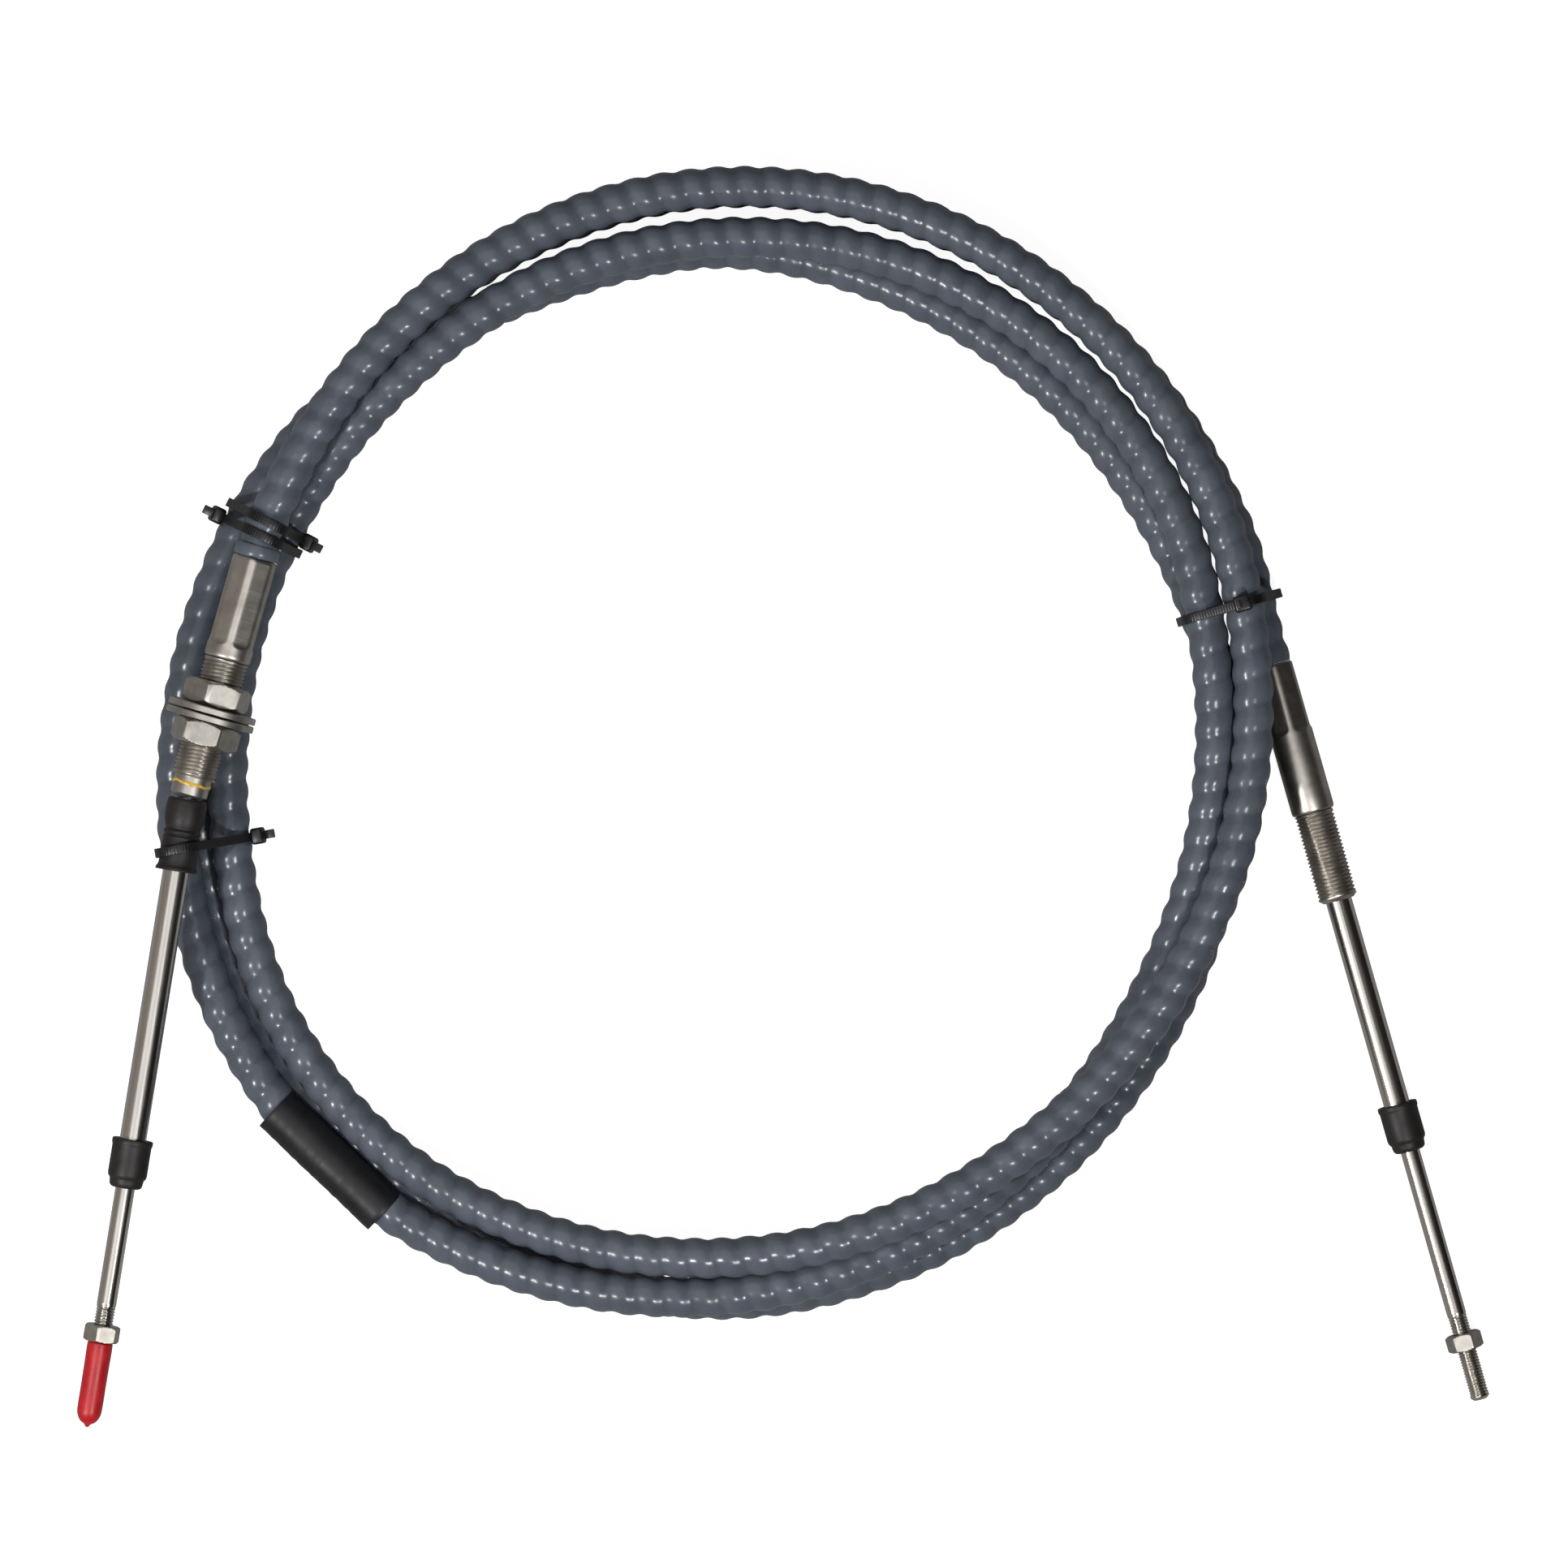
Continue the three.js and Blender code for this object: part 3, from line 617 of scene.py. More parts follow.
def ribbed_tube_tree():
    """A tube along a curve with one rib wound round it as a screw."""
    tree = node_group("ribbed_tube", {
        "Radius": "Float", "Rib Pitch": "Float", "Rib Depth": "Float",
        "Ring Step": "Float", "Sides": "Int", "Material": "Material"})
    given = add_node(tree, "NodeGroupInput").outputs
    even = add_node(tree, "GeometryNodeResampleCurve", mode="LENGTH", links={
        "Curve": given["Geometry"], "Length": given["Ring Step"]})
    run = add_node(tree, "GeometryNodeSplineParameter").outputs["Length"]
    centre = add_node(tree, "GeometryNodeInputPosition").outputs[0]
    line, (run, centre) = captured(tree, even, [
        ("FLOAT", "Run", run), ("VECTOR", "Centre", centre)])
    circle = add_node(tree, "GeometryNodeCurvePrimitiveCircle", links={
        "Resolution": given["Sides"], "Radius": given["Radius"]})
    share = add_node(tree, "GeometryNodeSplineParameter").outputs["Factor"]
    profile, (share,) = captured(tree, circle, [("FLOAT", "Share", share)])
    tube = add_node(tree, "GeometryNodeCurveToMesh", {"Fill Caps": True}, {
        "Curve": line, "Profile Curve": profile})
    ribs = math_node(tree, "DIVIDE", run, given["Rib Pitch"])
    wound = math_node(tree, "SUBTRACT", ribs, share)
    wave = math_node(tree, "COSINE", math_node(tree, "MULTIPLY", wound, TAU))
    # Between two wide ribs the groove is narrow, so the wave is raised to a power.
    groove = math_node(tree, "POWER", math_node(tree, "MULTIPLY_ADD", wave, 0.5, 0.5),
                       GROOVE_POWER)
    above = math_node(tree, "SUBTRACT", RIB_TOP, groove)
    lift = math_node(tree, "MULTIPLY", above, given["Rib Depth"])
    here = add_node(tree, "GeometryNodeInputPosition")
    spoke = vector_node(tree, "SUBTRACT", {0: here, 1: centre})
    outward = vector_node(tree, "NORMALIZE", {0: spoke})
    moved = add_node(tree, "GeometryNodeSetPosition", links={
        "Geometry": tube,
        "Offset": vector_node(tree, "SCALE", {0: outward, "Scale": lift})})
    # The groove's depth is kept for the jacket's material, which paints shade into the grooves
    # with it.
    named = add_node(tree, "GeometryNodeStoreNamedAttribute", {"Name": "groove"},
                     {"Geometry": moved, "Value": groove}, data_type="FLOAT",
                     domain="POINT")
    smooth = add_node(tree, "GeometryNodeSetShadeSmooth", links={"Geometry": named})
    return closed_tree(tree, smooth, given["Material"])


def strap_tree():
    """A flat strap along a closed curve, with fine teeth across its outer face."""
    tree = node_group("toothed_strap", {
        "Width": "Float", "Thickness": "Float", "Tooth Spacing": "Float",
        "Tooth Depth": "Float", "Side": "Vector", "Material": "Material"})
    given = add_node(tree, "NodeGroupInput").outputs
    step = math_node(tree, "DIVIDE", given["Tooth Spacing"], 4.0)
    even = add_node(tree, "GeometryNodeResampleCurve", mode="LENGTH", links={
        "Curve": given["Geometry"], "Length": step})
    level = add_node(tree, "GeometryNodeSetCurveNormal", mode="FREE", links={
        "Curve": even, "Normal": given["Side"]})
    run = add_node(tree, "GeometryNodeSplineParameter").outputs["Length"]
    line, (run,) = captured(tree, level, [("FLOAT", "Run", run)])
    card = add_node(tree, "GeometryNodeCurvePrimitiveQuadrilateral", links={
        "Width": given["Width"], "Height": given["Thickness"]})
    round_card = add_node(tree, "GeometryNodeFilletCurve", {"Count": 3, "Radius": 0.00022},
                          {"Curve": card}, mode="POLY")
    tube = add_node(tree, "GeometryNodeCurveToMesh", {"Fill Caps": True}, {
        "Curve": line, "Profile Curve": round_card})
    wave = math_node(tree, "SINE", math_node(
        tree, "MULTIPLY", math_node(tree, "DIVIDE", run, given["Tooth Spacing"]), TAU))
    lift = math_node(tree, "MULTIPLY", wave, given["Tooth Depth"])
    normal = add_node(tree, "GeometryNodeInputNormal")
    moved = add_node(tree, "GeometryNodeSetPosition", links={
        "Geometry": tube,
        "Offset": vector_node(tree, "SCALE", {0: normal, "Scale": lift})})
    return closed_tree(tree, moved, given["Material"])


def curve_from(name, points, cyclic=False):
    data = bpy.data.curves.new(name, "CURVE")
    data.dimensions = "3D"
    spline = data.splines.new("POLY")
    spline.points.add(len(points) - 1)
    for target, point in zip(spline.points, points):
        target.co = (*(Vector(point) * MM), 1)
    spline.use_cyclic_u = cyclic
    return linked(name, data)


def baked(name, source, tree, values):
    """Runs a node tree on an object and returns the result as a plain mesh object."""
    modifier = source.modifiers.new("shape", "NODES")
    modifier.node_group = tree
    for item in tree.interface.items_tree:
        if item.item_type == "SOCKET" and item.in_out == "INPUT" and item.name in values:
            modifier[item.identifier] = values[item.name]
    graph = bpy.context.evaluated_depsgraph_get()
    graph.update()
    mesh = bpy.data.meshes.new_from_object(
        source.evaluated_get(graph), preserve_all_data_layers=True, depsgraph=graph)
    mesh.name = name
    source.modifiers.remove(modifier)
    bpy.data.objects.remove(source)
    return linked(name, mesh)


class CABLE_OT_jacket(bpy.types.Operator):
    """Builds the ribbed jacket along its coiled route"""

    bl_idname = "cable.jacket"
    bl_label = "Ribbed Jacket"

    def execute(self, context):
        cable = context.scene.cable
        line = cable_line()
        source = curve_from("cable_route", line)
        jacket = baked("ribbed_jacket", source, ribbed_tube_tree(), {
            "Radius": JACKET_DIAMETER / 2 * MM, "Rib Pitch": cable.rib_pitch,
            "Rib Depth": cable.rib_depth, "Ring Step": cable.ring_step,
            "Sides": cable.sides, "Material": material_for("jacket"),
        })
        dress(jacket, "coil", "ribbed_vinyl_jacket", "cable_jacket")
        return {"FINISHED"}


def crimp_rows(sleeve, sides):
    """Rows of a sleeve crimped on six sides, its flats running out before its end."""
    diameter, flats, length, flats_length = sleeve
    radius = diameter / 2
    six = hexagon(around(sides), flats, 0.0, 0.0)
    crimped = np.minimum(radius, six)
    rows = [(x, crimped - 0.7 * (1 - x / 0.9) ** 2) for x in (0.0, 0.35, 0.9)]
    rows += [(x, crimped) for x in np.linspace(1.6, flats_length - 3.0, 10)]
    # The press leaves a round-ended run-out on each flat.
    for x in np.linspace(flats_length - 2.6, flats_length + 0.6, 14):
        rise = max(0.0, (x - flats_length + 2.6) / 3.2)
        rows.append((x, np.minimum(radius, six + 1.3 * rise**2.2)))
    rows += [(x, radius) for x in np.linspace(flats_length + 1.2, length - 1.2, 4)]
    return rows + [(length - 0.5, radius - 0.18), (length - 0.1, radius - 0.6)]


class CABLE_OT_hubs(bpy.types.Operator):
    """Builds the two crimped and threaded hubs"""

    bl_idname = "cable.hubs"
    bl_label = "Threaded Hubs"

    def execute(self, context):
        fitting = context.scene.fitting
        collar, nose = COLLAR_A[0] / 2, COLLAR_A[1]
        self.hub(fitting, "a", FRAME_A, SLEEVE_A, THREAD_A, 0.2, [
            (THREAD_A[1], collar), (nose - 0.5, collar), (nose, collar - 0.5),
            (nose, TUBE / 2 + 0.2), (nose - 2.0, TUBE / 2 + 0.2)])
        radius, end = THREAD_B[0] / 2, THREAD_B[1]
        self.hub(fitting, "b", FRAME_B, SLEEVE_B, THREAD_B, 1.3, [
            (end - 1.2, radius - 0.1), (end - 0.2, radius - 1.3), (end, radius - 1.45),
            (end, TUBE / 2 + 0.75), (end - SOCKET_B, TUBE / 2 + 0.7)])
        self.thread_lock(fitting.sides)
        return {"FINISHED"}

    def hub(self, fitting, letter, matrix, sleeve, thread, short, nose_rows):
        """One hub: crimped sleeve, thread that ends a little short, and nose."""
        sides, depth = fitting.sides, fitting.hub_thread_depth / MM
        radius, start = thread[0] / 2, sleeve[2]
        rows = crimp_rows(sleeve, sides)
        rows.append((start + 0.1, radius - depth))
        rows += thread_rows(
            start + 0.3, thread[1] - short, radius, depth, HUB_THREAD_PITCH, sides)
        turned_piece(f"hub_{letter}_body", rows + nose_rows, matrix, "turned", sides,
                     ("coil", "turned_stainless_steel", f"hub_{letter}"))

    def thread_lock(self, sides):
        """An uneven dried bead round the polished collar of the upper hub."""
        turn = around(sides)
        rng = np.random.default_rng(7)
        wobble = sum(a * np.sin(k * turn + p) for k, a, p in zip(
            (1, 2, 5, 9), (0.3, 0.28, 0.16, 0.1), rng.uniform(0, TAU, 4)))
        middle = THREAD_A[1] + 2.4 + wobble
        radius = COLLAR_A[0] / 2
        swell = 0.22 + 0.1 * np.sin(3 * turn + 1.0)
        half = 0.75 + 0.25 * np.sin(4 * turn + 2.0)
        rows = [(middle - half, radius - 0.15), (middle - half * 0.6, radius + swell * 0.8),
                (middle, radius + swell), (middle + half * 0.6, radius + swell * 0.8),
                (middle + half, radius - 0.15)]
        turned_piece("thread_lock_bead", rows, FRAME_A, "lock", sides,
                     ("coil", "turned_stainless_steel"), closed=True, sharp=80)


def nut_rows(flats, thickness, bore, turned_by, chamfer):
    """Rows of a hexagon nut, both faces chamfered by a cone, and its bore."""
    six = hexagon(around(NUT_SIDES), flats, math.radians(turned_by))
    face = flats * 0.48
    rows = [(0.0, np.minimum(six, face))]
    for x in (0.12, 0.3, 0.5, 0.75, 1.05, 1.4):
        rows.append((x, np.minimum(six, face + x * 1.75 * (0.9 / chamfer))))
    rows += [(thickness - x, radius) for x, radius in reversed(rows)]
    return rows + [(thickness, bore + 0.6), (thickness - 0.6, bore), (0.6, bore),
                   (0.0, bore + 0.6)]


class CABLE_OT_nuts(bpy.types.Operator):
    """Builds the bulkhead nuts, their washers and the jam nuts"""

    bl_idname = "cable.nuts"
    bl_label = "Nuts and Washers"

    def execute(self, context):
        depth = context.scene.fitting.hub_thread_depth / MM
        bore = THREAD_A[0] / 2 - depth * 0.7
        thick = WASHER[1]
        washer_1 = LOWER_NUT_START + NUT_THICKNESS + TOUCH_GAP
        washer_2 = washer_1 + thick + WASHER[2]
        upper = washer_2 + thick + TOUCH_GAP
        for name, x, turned_by in zip(("bulkhead_nut_1", "bulkhead_nut_2"),
                                      (LOWER_NUT_START, upper), NUTS_TURNED_BY):
            rows = nut_rows(NUT_FLATS, NUT_THICKNESS, bore, turned_by, 1.1)
            self.ring(name, rows, FRAME_A, x, "forged", 24, "coil")
        rim = WASHER[0] / 2
        for name, x in (("washer_1", washer_1), ("washer_2", washer_2)):
            rows = [(0, bore), (0, rim - 0.5), (0.12, rim - 0.18), (0.4, rim),
                    (thick - 0.2, rim), (thick, rim - 0.2), (thick, bore)]
            self.ring(name, rows, FRAME_A, x, "turned", 30, "coil")
        rod_bore = ROD / 2 - 0.35
        for (letter, matrix, _, _, seal_start, _, nut_at), turned_by in zip(
                ENDS, JAM_NUTS_TURNED_BY):
            rows = nut_rows(*JAM_NUT, rod_bore, turned_by, 0.9)
            self.ring(f"jam_nut_{letter}", rows, matrix, seal_start + SEAL[1] + nut_at,
                      "forged", 24, f"rod_{letter}_body")
        return {"FINISHED"}

    def ring(self, name, rows, matrix, x, material, sharp, body):
        turned_piece(f"{name}_body", rows, further(matrix, x), material, NUT_SIDES,
                     (body, "nut_stainless_steel", name), closed=True, sharp=sharp)


class CABLE_OT_rods(bpy.types.Operator):
    """Builds the guide tubes and the threaded rods"""

    bl_idname = "cable.rods"
    bl_label = "Tubes and Rods"

    def execute(self, context):
        depth = context.scene.fitting.rod_thread_depth / MM
        lip = SEAL[1] - 3.6 - TOUCH_GAP
        inner, outer, radius = ROD / 2 + 0.3, TUBE / 2, ROD / 2
        for letter, matrix, body, start, seal_start, out, nut_at in ENDS:
            end = seal_start + lip
            rows = [(start, inner), (start, outer - 0.3), (start + 0.3, outer)]
            rows += [(x, outer) for x in np.linspace(start + 1, end - 1, 24)]
            rows += [(end - 0.3, outer), (end, outer - 0.3), (end, inner)]
            turned_piece(f"tube_{letter}_body", rows, matrix, "drawn", ROD_SIDES,
                         (body, "polished_stainless_steel", f"tube_{letter}"), closed=True)
            thread_start = nut_at - 7.5
            tail = -ROD_ENGAGED
            rows = [(tail, radius - 0.4), (tail + 0.4, radius)]
            rows += [(x, radius) for x in np.linspace(tail + 2, thread_start - 0.5, 24)]
            rows += thread_rows(thread_start, out - 1.1, radius, depth, ROD_THREAD_PITCH,
                                ROD_SIDES, fade=1.6)
            rows += [(out - 0.9, radius - 0.15), (out - 0.1, radius - 0.95),
                     (out, radius - 1.1)]
            turned_piece(
                f"rod_{letter}_skin", rows, further(matrix, seal_start + SEAL[1]), "drawn",
                ROD_SIDES, (f"rod_{letter}_body", "polished_stainless_steel", f"rod_{letter}"))
        return {"FINISHED"}


def smooth_rows(stops, per_span):
    """Rows of a soft moulded profile: a smooth line through (x, radius) stops."""
    line = catmull([(x, r, 0) for x, r in stops], per_span)
    return [(p.x, p.y) for p in line]


class CABLE_OT_rubber(bpy.types.Operator):
    """Builds the boot, the wiper seals and the collar of the upper fitting"""

    bl_idname = "cable.rubber"
    bl_label = "Boot and Seals"

    def execute(self, context):
        start, length, diameter, waist = BOOT
        big, thin = diameter / 2, waist / 2
        bore = TUBE / 2 + 0.02
        outside = smooth_rows([
            (0, big - 0.9), (0.5, big - 0.35), (2.5, big), (6.0, big + 0.05), (8.6, big - 0.25),
            (10.2, thin + 0.15), (11.0, thin - 0.15), (11.9, thin + 0.35), (12.6, thin + 0.4),
            (13.2, thin - 0.1), (13.9, thin + 0.3), (15.0, big - 0.55), (17.0, big - 0.4),
            (21.5, big - 0.5), (24.0, big - 0.35), (25.2, big + 0.25), (length, big + 0.3),
        ], 4)
        rows = [(0, bore + 1.6), *outside, (length, big - 0.9), (length - 1.2, bore), (3, bore)]
        turned_piece("boot_a_body", rows, further(SWIVEL_A, start), "rubber", ROD_SIDES,
                     ("coil", "black_rubber", "boot_a"), closed=True, sharp=50)
        rim, long = SEAL[0] / 2, SEAL[1]
        for letter, matrix, body, _, x, _, _ in ENDS:
            rows = [(0, TUBE / 2 + 0.02), (0, rim - 0.35), (0.25, rim - 0.05), (0.6, rim),
                    (1.7, rim), (2.1, rim - 0.22), (2.6, rim - 0.3), (8.0, rim - 0.3),
                    (long - 5.0, rim - 0.3), (long - 4.0, rim - 0.5), (long - 3.4, rim - 1.0),
                    (long - 3.0, rim - 1.2), (long - 2.0, rim - 1.3), (long - 0.9, rim - 1.5),
                    (long - 0.3, rim - 2.0), (long, rim - 2.6), (long, ROD / 2 + 0.15),
                    (long - 3.4, ROD / 2 + 0.12), (long - 3.6, TUBE / 2 + 0.02)]
            turned_piece(
                f"seal_{letter}_body", rows, further(matrix, x), "rubber", ROD_SIDES,
                (body, "black_rubber", f"seal_{letter}"), closed=True, sharp=42)
        inner = JACKET_DIAMETER / 2 - 0.1
        wall, span = 1.1, 4.2
        rows = [(0, inner), (0, inner + wall - 0.3), (0.4, inner + wall),
                (span - 0.4, inner + wall), (span, inner + wall - 0.3), (span, inner)]
        turned_piece(
            "jacket_collar_a_body", rows, further(FRAME_A, -TOUCH_GAP - span), "jacket",
            ROD_SIDES, ("coil", "ribbed_vinyl_jacket", "jacket_collar_a"), closed=True)
        return {"FINISHED"}


class CABLE_OT_cap(bpy.types.Operator):
    """Builds the red dipped cap on the upper rod"""

    bl_idname = "cable.cap"
    bl_label = "Red Cap"

    def execute(self, context):
        diameter, length = CAP
        r = diameter / 2
        outside = smooth_rows([
            (0, r - 0.25), (0.25, r - 0.02), (1.0, r + 0.05), (8.0, r), (16.0, r - 0.05),
            (23.0, r - 0.05), (25.5, r * 0.95), (27.3, r * 0.8), (28.6, r * 0.58),
            (29.2, r * 0.36), (29.7, r * 0.22), (30.2, r * 0.16), (length, r * 0.08),
        ], 5)
        nut_end = JAM_NUT_A_AT + JAM_NUT[1] + TOUCH_GAP
        at = further(SWIVEL_A, TUBE_A_TO_SEAL + SEAL[1] + nut_end)
        bore = ROD / 2 + 0.05
        depth = ROD_A_OUT - nut_end + 0.6
        rows = [(depth, 0.2), (depth, bore - 0.4), (0, bore), *outside]
        turned_piece("cap_a_skin", rows, at, "red", ROD_SIDES,
                     ("cap_a_body", "red_vinyl_cap", "cap_a"), sharp=50)
        return {"FINISHED"}


def loops_at(angle):
    """Middle points of the cable's loops in the upright plane at an angle."""
    found = []
    for turn in range(4):
        a = angle - 360 * turn
        if ROUTE[0][0] > a > ROUTE[-1][0]:
            p = route_point(a)
            found.append((math.hypot(p.x, p.y), p.z, JACKET_DIAMETER / 2))
    return found


def outline_round(circles, grow):
    """Corners of the convex outline round circles, each (across, height, radius)."""
    points = []
    for x, y, radius in circles:
        for turn in np.arange(48) * TAU / 48:
            reach = radius + grow
            points.append((x + reach * math.cos(turn), y + reach * math.sin(turn)))
    points.sort()

    def half(run):
        kept = []
        for p in run:
            while len(kept) > 1:
                o, q = kept[-2], kept[-1]
                if (q[0] - o[0]) * (p[1] - o[1]) - (q[1] - o[1]) * (p[0] - o[0]) > 1e-9:
                    break
                kept.pop()
            kept.append(p)
        return kept[:-1]

    return half(points) + half(list(reversed(points)))


def rounded_box(name, size, bevel, matrix, material):
    """A moulded block with soft edges."""
    form = bmesh.new()
    bmesh.ops.create_cube(form, size=1.0)
    bmesh.ops.scale(form, vec=size, verts=form.verts)
    bmesh.ops.bevel(form, geom=form.edges[:], offset=bevel, segments=3, affect="EDGES",
                    profile=0.5, clamp_overlap=True)
    bmesh.ops.recalc_face_normals(form, faces=form.faces)
    for v in form.verts:
        v.co = (matrix @ v.co) * MM
    mesh = bpy.data.meshes.new(name)
    form.to_mesh(mesh)
    form.free()
    mesh.materials.append(material)
    return mesh


class CABLE_OT_ties(bpy.types.Operator):
    """Builds the four nylon ties"""

    bl_idname = "cable.ties"
    bl_label = "Nylon Ties"

    def execute(self, context):
        boot = SWIVEL_A @ Vector((BOOT[0] + BOOT[1] * 0.7, 0, 0))
        boot_angle = math.degrees(math.atan2(boot.y, boot.x))
        boot_circle = (math.hypot(boot.x, boot.y), boot.z, BOOT[2] / 2)
        tree = strap_tree()
        # Name, angle round the ring in degrees, what else the tie holds, the head's
        # direction in the tie's plane, and the side of the head where the tail leaves.
        for name, angle, extra, head_direction, tail_side in (
            ("tie_1", 154.6, [], 20, 1), ("tie_2", 152.9, [], 165, -1),
            ("tie_3", boot_angle, [boot_circle], 170, 1), ("tie_4", 16.2, [], 95, 1),
        ):
            circles = loops_at(angle % 360) + extra
            self.one_tie(context, tree, name, angle, circles, head_direction, tail_side)
        return {"FINISHED"}

    def one_tie(self, context, tree, name, angle, circles, head_direction, tail_side):
        nylon = material_for("nylon")
        tie = context.scene.tie
        turn = math.radians(angle)
        across = Vector((math.cos(turn), math.sin(turn), 0))
        side = across.cross(Vector((0, 0, 1)))
        middle = outline_round(circles, TIE_GAP + TIE_THICKNESS / 2)
        points = [across * x + Vector((0, 0, y)) for x, y in middle]
        source = curve_from(f"{name}_path", points, cyclic=True)
        strap = baked(f"{name}_strap", source, tree, {
            "Width": tie.width, "Thickness": TIE_THICKNESS * MM,
            "Tooth Spacing": tie.rib_spacing, "Tooth Depth": 0.05 * MM,
            "Side": side, "Material": nylon})
        away = math.radians(head_direction)
        x, y = max(middle, key=lambda p: p[0] * math.cos(away) + p[1] * math.sin(away))
        spot = across * x + Vector((0, 0, y))
        out = across * math.cos(away) + Vector((0, 0, math.sin(away)))
        run = side.cross(out)
        basis = Matrix((out, run, side)).transposed().to_4x4()
        at = Matrix.Translation(spot) @ basis
        head = rounded_box(f"{name}_head", HEAD_SIZE, 1.0, further(at, 1.75), nylon)
        tail = rounded_box(f"{name}_tail", TAIL_SIZE, 0.25,
                           at @ Matrix.Translation((5.4, 1.2 * tail_side, 0)), nylon)
        form = bmesh.new()
        for mesh in (strap.data, head, tail):
            form.from_mesh(mesh)
        whole = bpy.data.meshes.new(f"{name}_body")
        form.to_mesh(whole)
        form.free()
        whole.materials.append(nylon)
        bpy.data.objects.remove(strap)
        piece = finish_mesh(f"{name}_body", whole, 40)
        dress(piece, "coil", "black_nylon", name)


class CABLE_OT_sleeve(bpy.types.Operator):
    """Builds the plain black sleeve shrunk over the jacket"""

    bl_idname = "cable.sleeve"
    bl_label = "Plain Sleeve"

    def execute(self, context):
        turn = around(ROD_SIDES)
        rng = np.random.default_rng(11)
        a, b = (route_point(LABEL_ANGLE + side * LABEL_HALF_ANGLE) for side in (1, -1))
        middle = route_point(LABEL_ANGLE)
        direction = (b - a).normalized()
        basis = direction.to_track_quat("X", "Z").to_matrix().to_4x4()
        at = Matrix.Translation(a.lerp(b, 0.5).lerp(middle, 0.6)) @ basis
        half = LABEL_LENGTH / 2
        inner, outer = JACKET_DIAMETER / 2 + 0.35, JACKET_DIAMETER / 2 + 1.55
        rows = [(-half, inner), (-half, outer - 0.15), (-half + 0.25, outer)]
        for x in np.linspace(-half + 2, half - 2, 26):
            dent = 0.07 * math.sin(x * 1.9) + 0.05 * rng.uniform(-1, 1)
            rows.append((x, outer + dent + 0.06 * np.sin(2 * turn + x * 0.2)))
        rows += [(half - 0.25, outer), (half, outer - 0.15), (half, inner)]
        turned_piece("label_sleeve_body", rows, at, "film", ROD_SIDES,
                     ("coil", "black_shrink_sleeve", "label_sleeve"), closed=True, sharp=45)
        return {"FINISHED"}


def camera_split(tree, others, camera):
    """One shader for the camera's own rays and another for all other rays."""
    seen = add_node(tree, "ShaderNodeLightPath").outputs["Is Camera Ray"]
    return add_node(tree, "ShaderNodeMixShader",
                    links={0: seen, 1: others, 2: camera})


def floor_material():
    """Plain white floor: it shows white, and gives the object a soft light from below."""
    material = bpy.data.materials.new("plain_white_floor")
    tree = empty_tree(material)
    dim = add_node(tree, "ShaderNodeBsdfDiffuse", {"Color": linear("#8c8c8c")})
    glow = add_node(tree, "ShaderNodeEmission", {"Color": (1, 1, 1, 1), "Strength": 0.93})
    lit = add_node(tree, "ShaderNodeAddShader", links={0: dim, 1: glow})
    add_node(tree, "ShaderNodeOutputMaterial", links={
        "Surface": camera_split(tree, dim, lit)})
    return material


def soft_light(name, place, size, watts, aim=(0, 0, 0), colour=(1, 1, 1)):
    data = bpy.data.lights.new(name, "AREA")
    data.shape = "RECTANGLE"
    data.size, data.size_y = size
    data.energy = watts
    data.color = colour
    obj = linked(name, data)
    obj.location = place
    obj.rotation_euler = (Vector(aim) - Vector(place)).to_track_quat("-Z", "Y").to_euler()
    obj.visible_camera = False


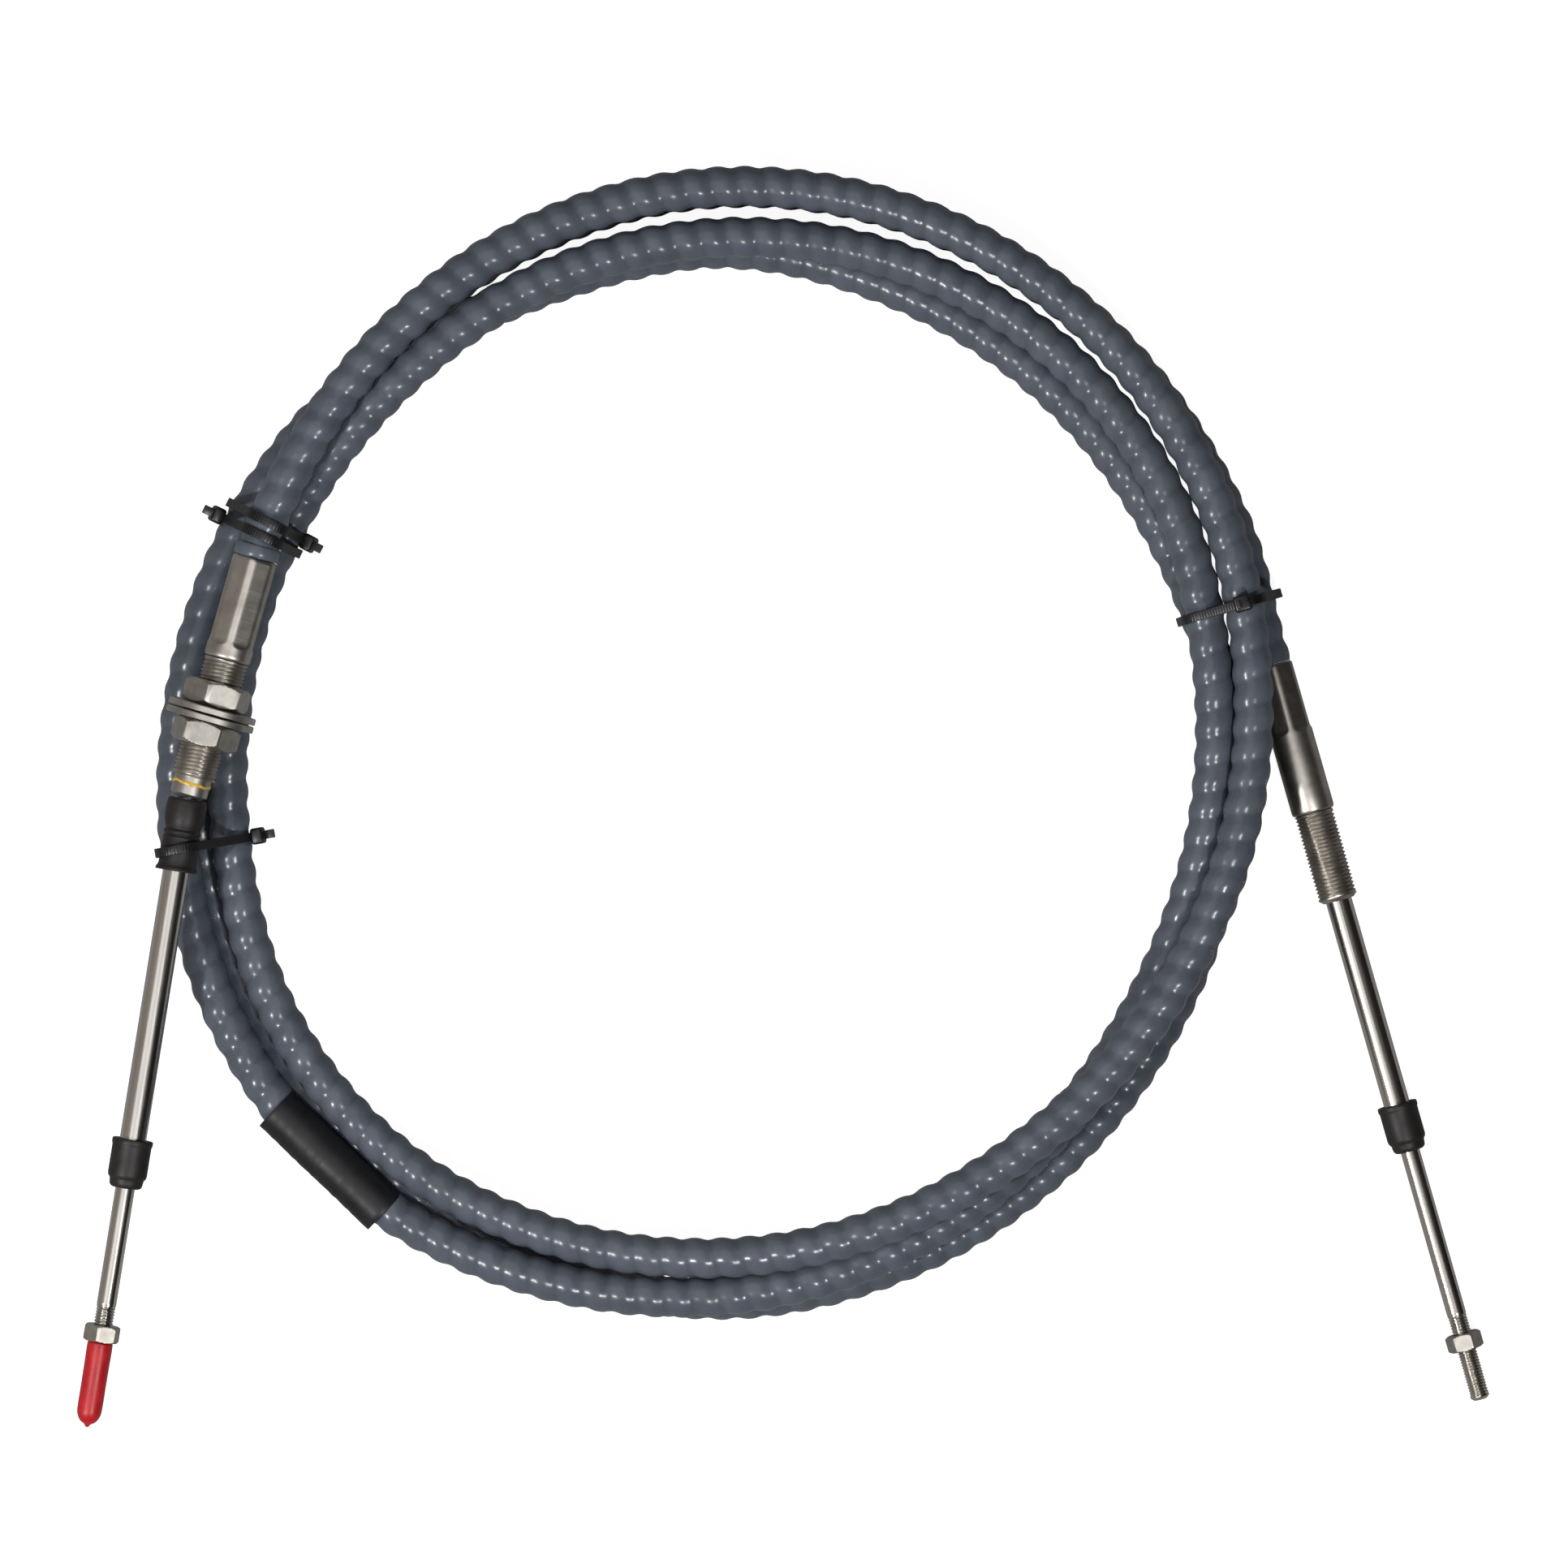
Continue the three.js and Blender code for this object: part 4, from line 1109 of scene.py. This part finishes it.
class CABLE_OT_stage(bpy.types.Operator):
    """Builds the floor, the lights, the world and the camera"""

    bl_idname = "cable.stage"
    bl_label = "Stage"

    def execute(self, context):
        scene = context.scene
        stage = scene.stage
        mesh = bpy.data.meshes.new("floor")
        far = FLOOR_REACH
        mesh.from_pydata([(-far, -far, 0), (far, -far, 0), (far, far, 0), (-far, far, 0)],
                         [], [(0, 1, 2, 3)])
        mesh.materials.append(floor_material())
        floor = linked("floor", mesh)
        floor.location.z = FLOOR_LEVEL
        soft_light("softbox", (-0.2, 0.1, 0.75), (0.75, 1.0), 2.3, (-0.2, 0.1, 0),
                   (0.97, 0.98, 1.0))
        soft_light("spot_left", (-1.09, -0.7, 1.5), (0.17, 0.17), 22.0)
        soft_light("spot_right", (0.47, -0.75, 1.5), (0.17, 0.17), 14.0)
        world = bpy.data.worlds.new("studio")
        tree = empty_tree(world)
        direction = add_node(tree, "ShaderNodeTexCoord").outputs["Generated"]
        parts = add_node(tree, "ShaderNodeSeparateXYZ", links={0: direction}).outputs
        side = math_node(tree, "MULTIPLY_ADD", parts["X"], 0.5, 0.5)
        tone = ramp(tree, side, [(0.0, "#958e89"), (0.3, "#827d7a"), (0.55, "#5c5a5a"),
                                 (0.8, "#2e2c2c"), (1.0, "#1c1a1a")])
        sky = add_node(tree, "ShaderNodeBackground", {"Strength": 1.05}, {"Color": tone})
        plain = add_node(tree, "ShaderNodeBackground", {"Color": linear("#ffffff")})
        add_node(tree, "ShaderNodeOutputWorld", links={
            "Surface": camera_split(tree, sky, plain)})
        scene.world = world
        scene.view_settings.view_transform = "Standard"
        data = bpy.data.cameras.new("camera")
        data.sensor_width = SENSOR_WIDTH
        data.lens = SENSOR_WIDTH * (stage.camera_height - COIL_LEVEL) / stage.view_width
        data.clip_end = 50
        camera = linked("camera", data)
        camera.location = (*CAMERA_OVER, stage.camera_height)
        scene.camera = camera
        return {"FINISHED"}


class CABLE_PT_panel(bpy.types.Panel):
    """Lists the makers of the cable's pieces"""

    bl_label = "Steering Cable"
    bl_idname = "CABLE_PT_panel"
    bl_space_type = "VIEW_3D"
    bl_region_type = "UI"
    bl_category = "Steering Cable"

    def draw(self, context):
        for group in (getattr(context.scene, name) for name in SETTINGS):
            box = self.layout.box()
            for name in group.__annotations__:
                box.prop(group, name)
        for operator in OPERATORS:
            self.layout.operator(operator.bl_idname)


SETTINGS = {
    "cable": CableSettings, "fitting": FittingSettings, "tie": TieSettings,
    "stage": StageSettings,
}
OPERATORS = (
    CABLE_OT_stage, CABLE_OT_hubs, CABLE_OT_jacket, CABLE_OT_nuts, CABLE_OT_rods,
    CABLE_OT_rubber, CABLE_OT_cap, CABLE_OT_ties, CABLE_OT_sleeve,
)
CLASSES = (*SETTINGS.values(), *OPERATORS, CABLE_PT_panel)


def register():
    for item in CLASSES:
        bpy.utils.register_class(item)
    for name, group in SETTINGS.items():
        setattr(bpy.types.Scene, name, PointerProperty(type=group))


def unregister():
    for name in SETTINGS:
        delattr(bpy.types.Scene, name)
    for item in reversed(CLASSES):
        bpy.utils.unregister_class(item)


def main():
    register()
    bpy.ops.cable.stage()
    bpy.ops.cable.hubs()
    bpy.ops.cable.jacket()
    bpy.ops.cable.nuts()
    bpy.ops.cable.rods()
    bpy.ops.cable.rubber()
    bpy.ops.cable.cap()
    bpy.ops.cable.ties()
    bpy.ops.cable.sleeve()


if __name__ == "__main__":
    main()
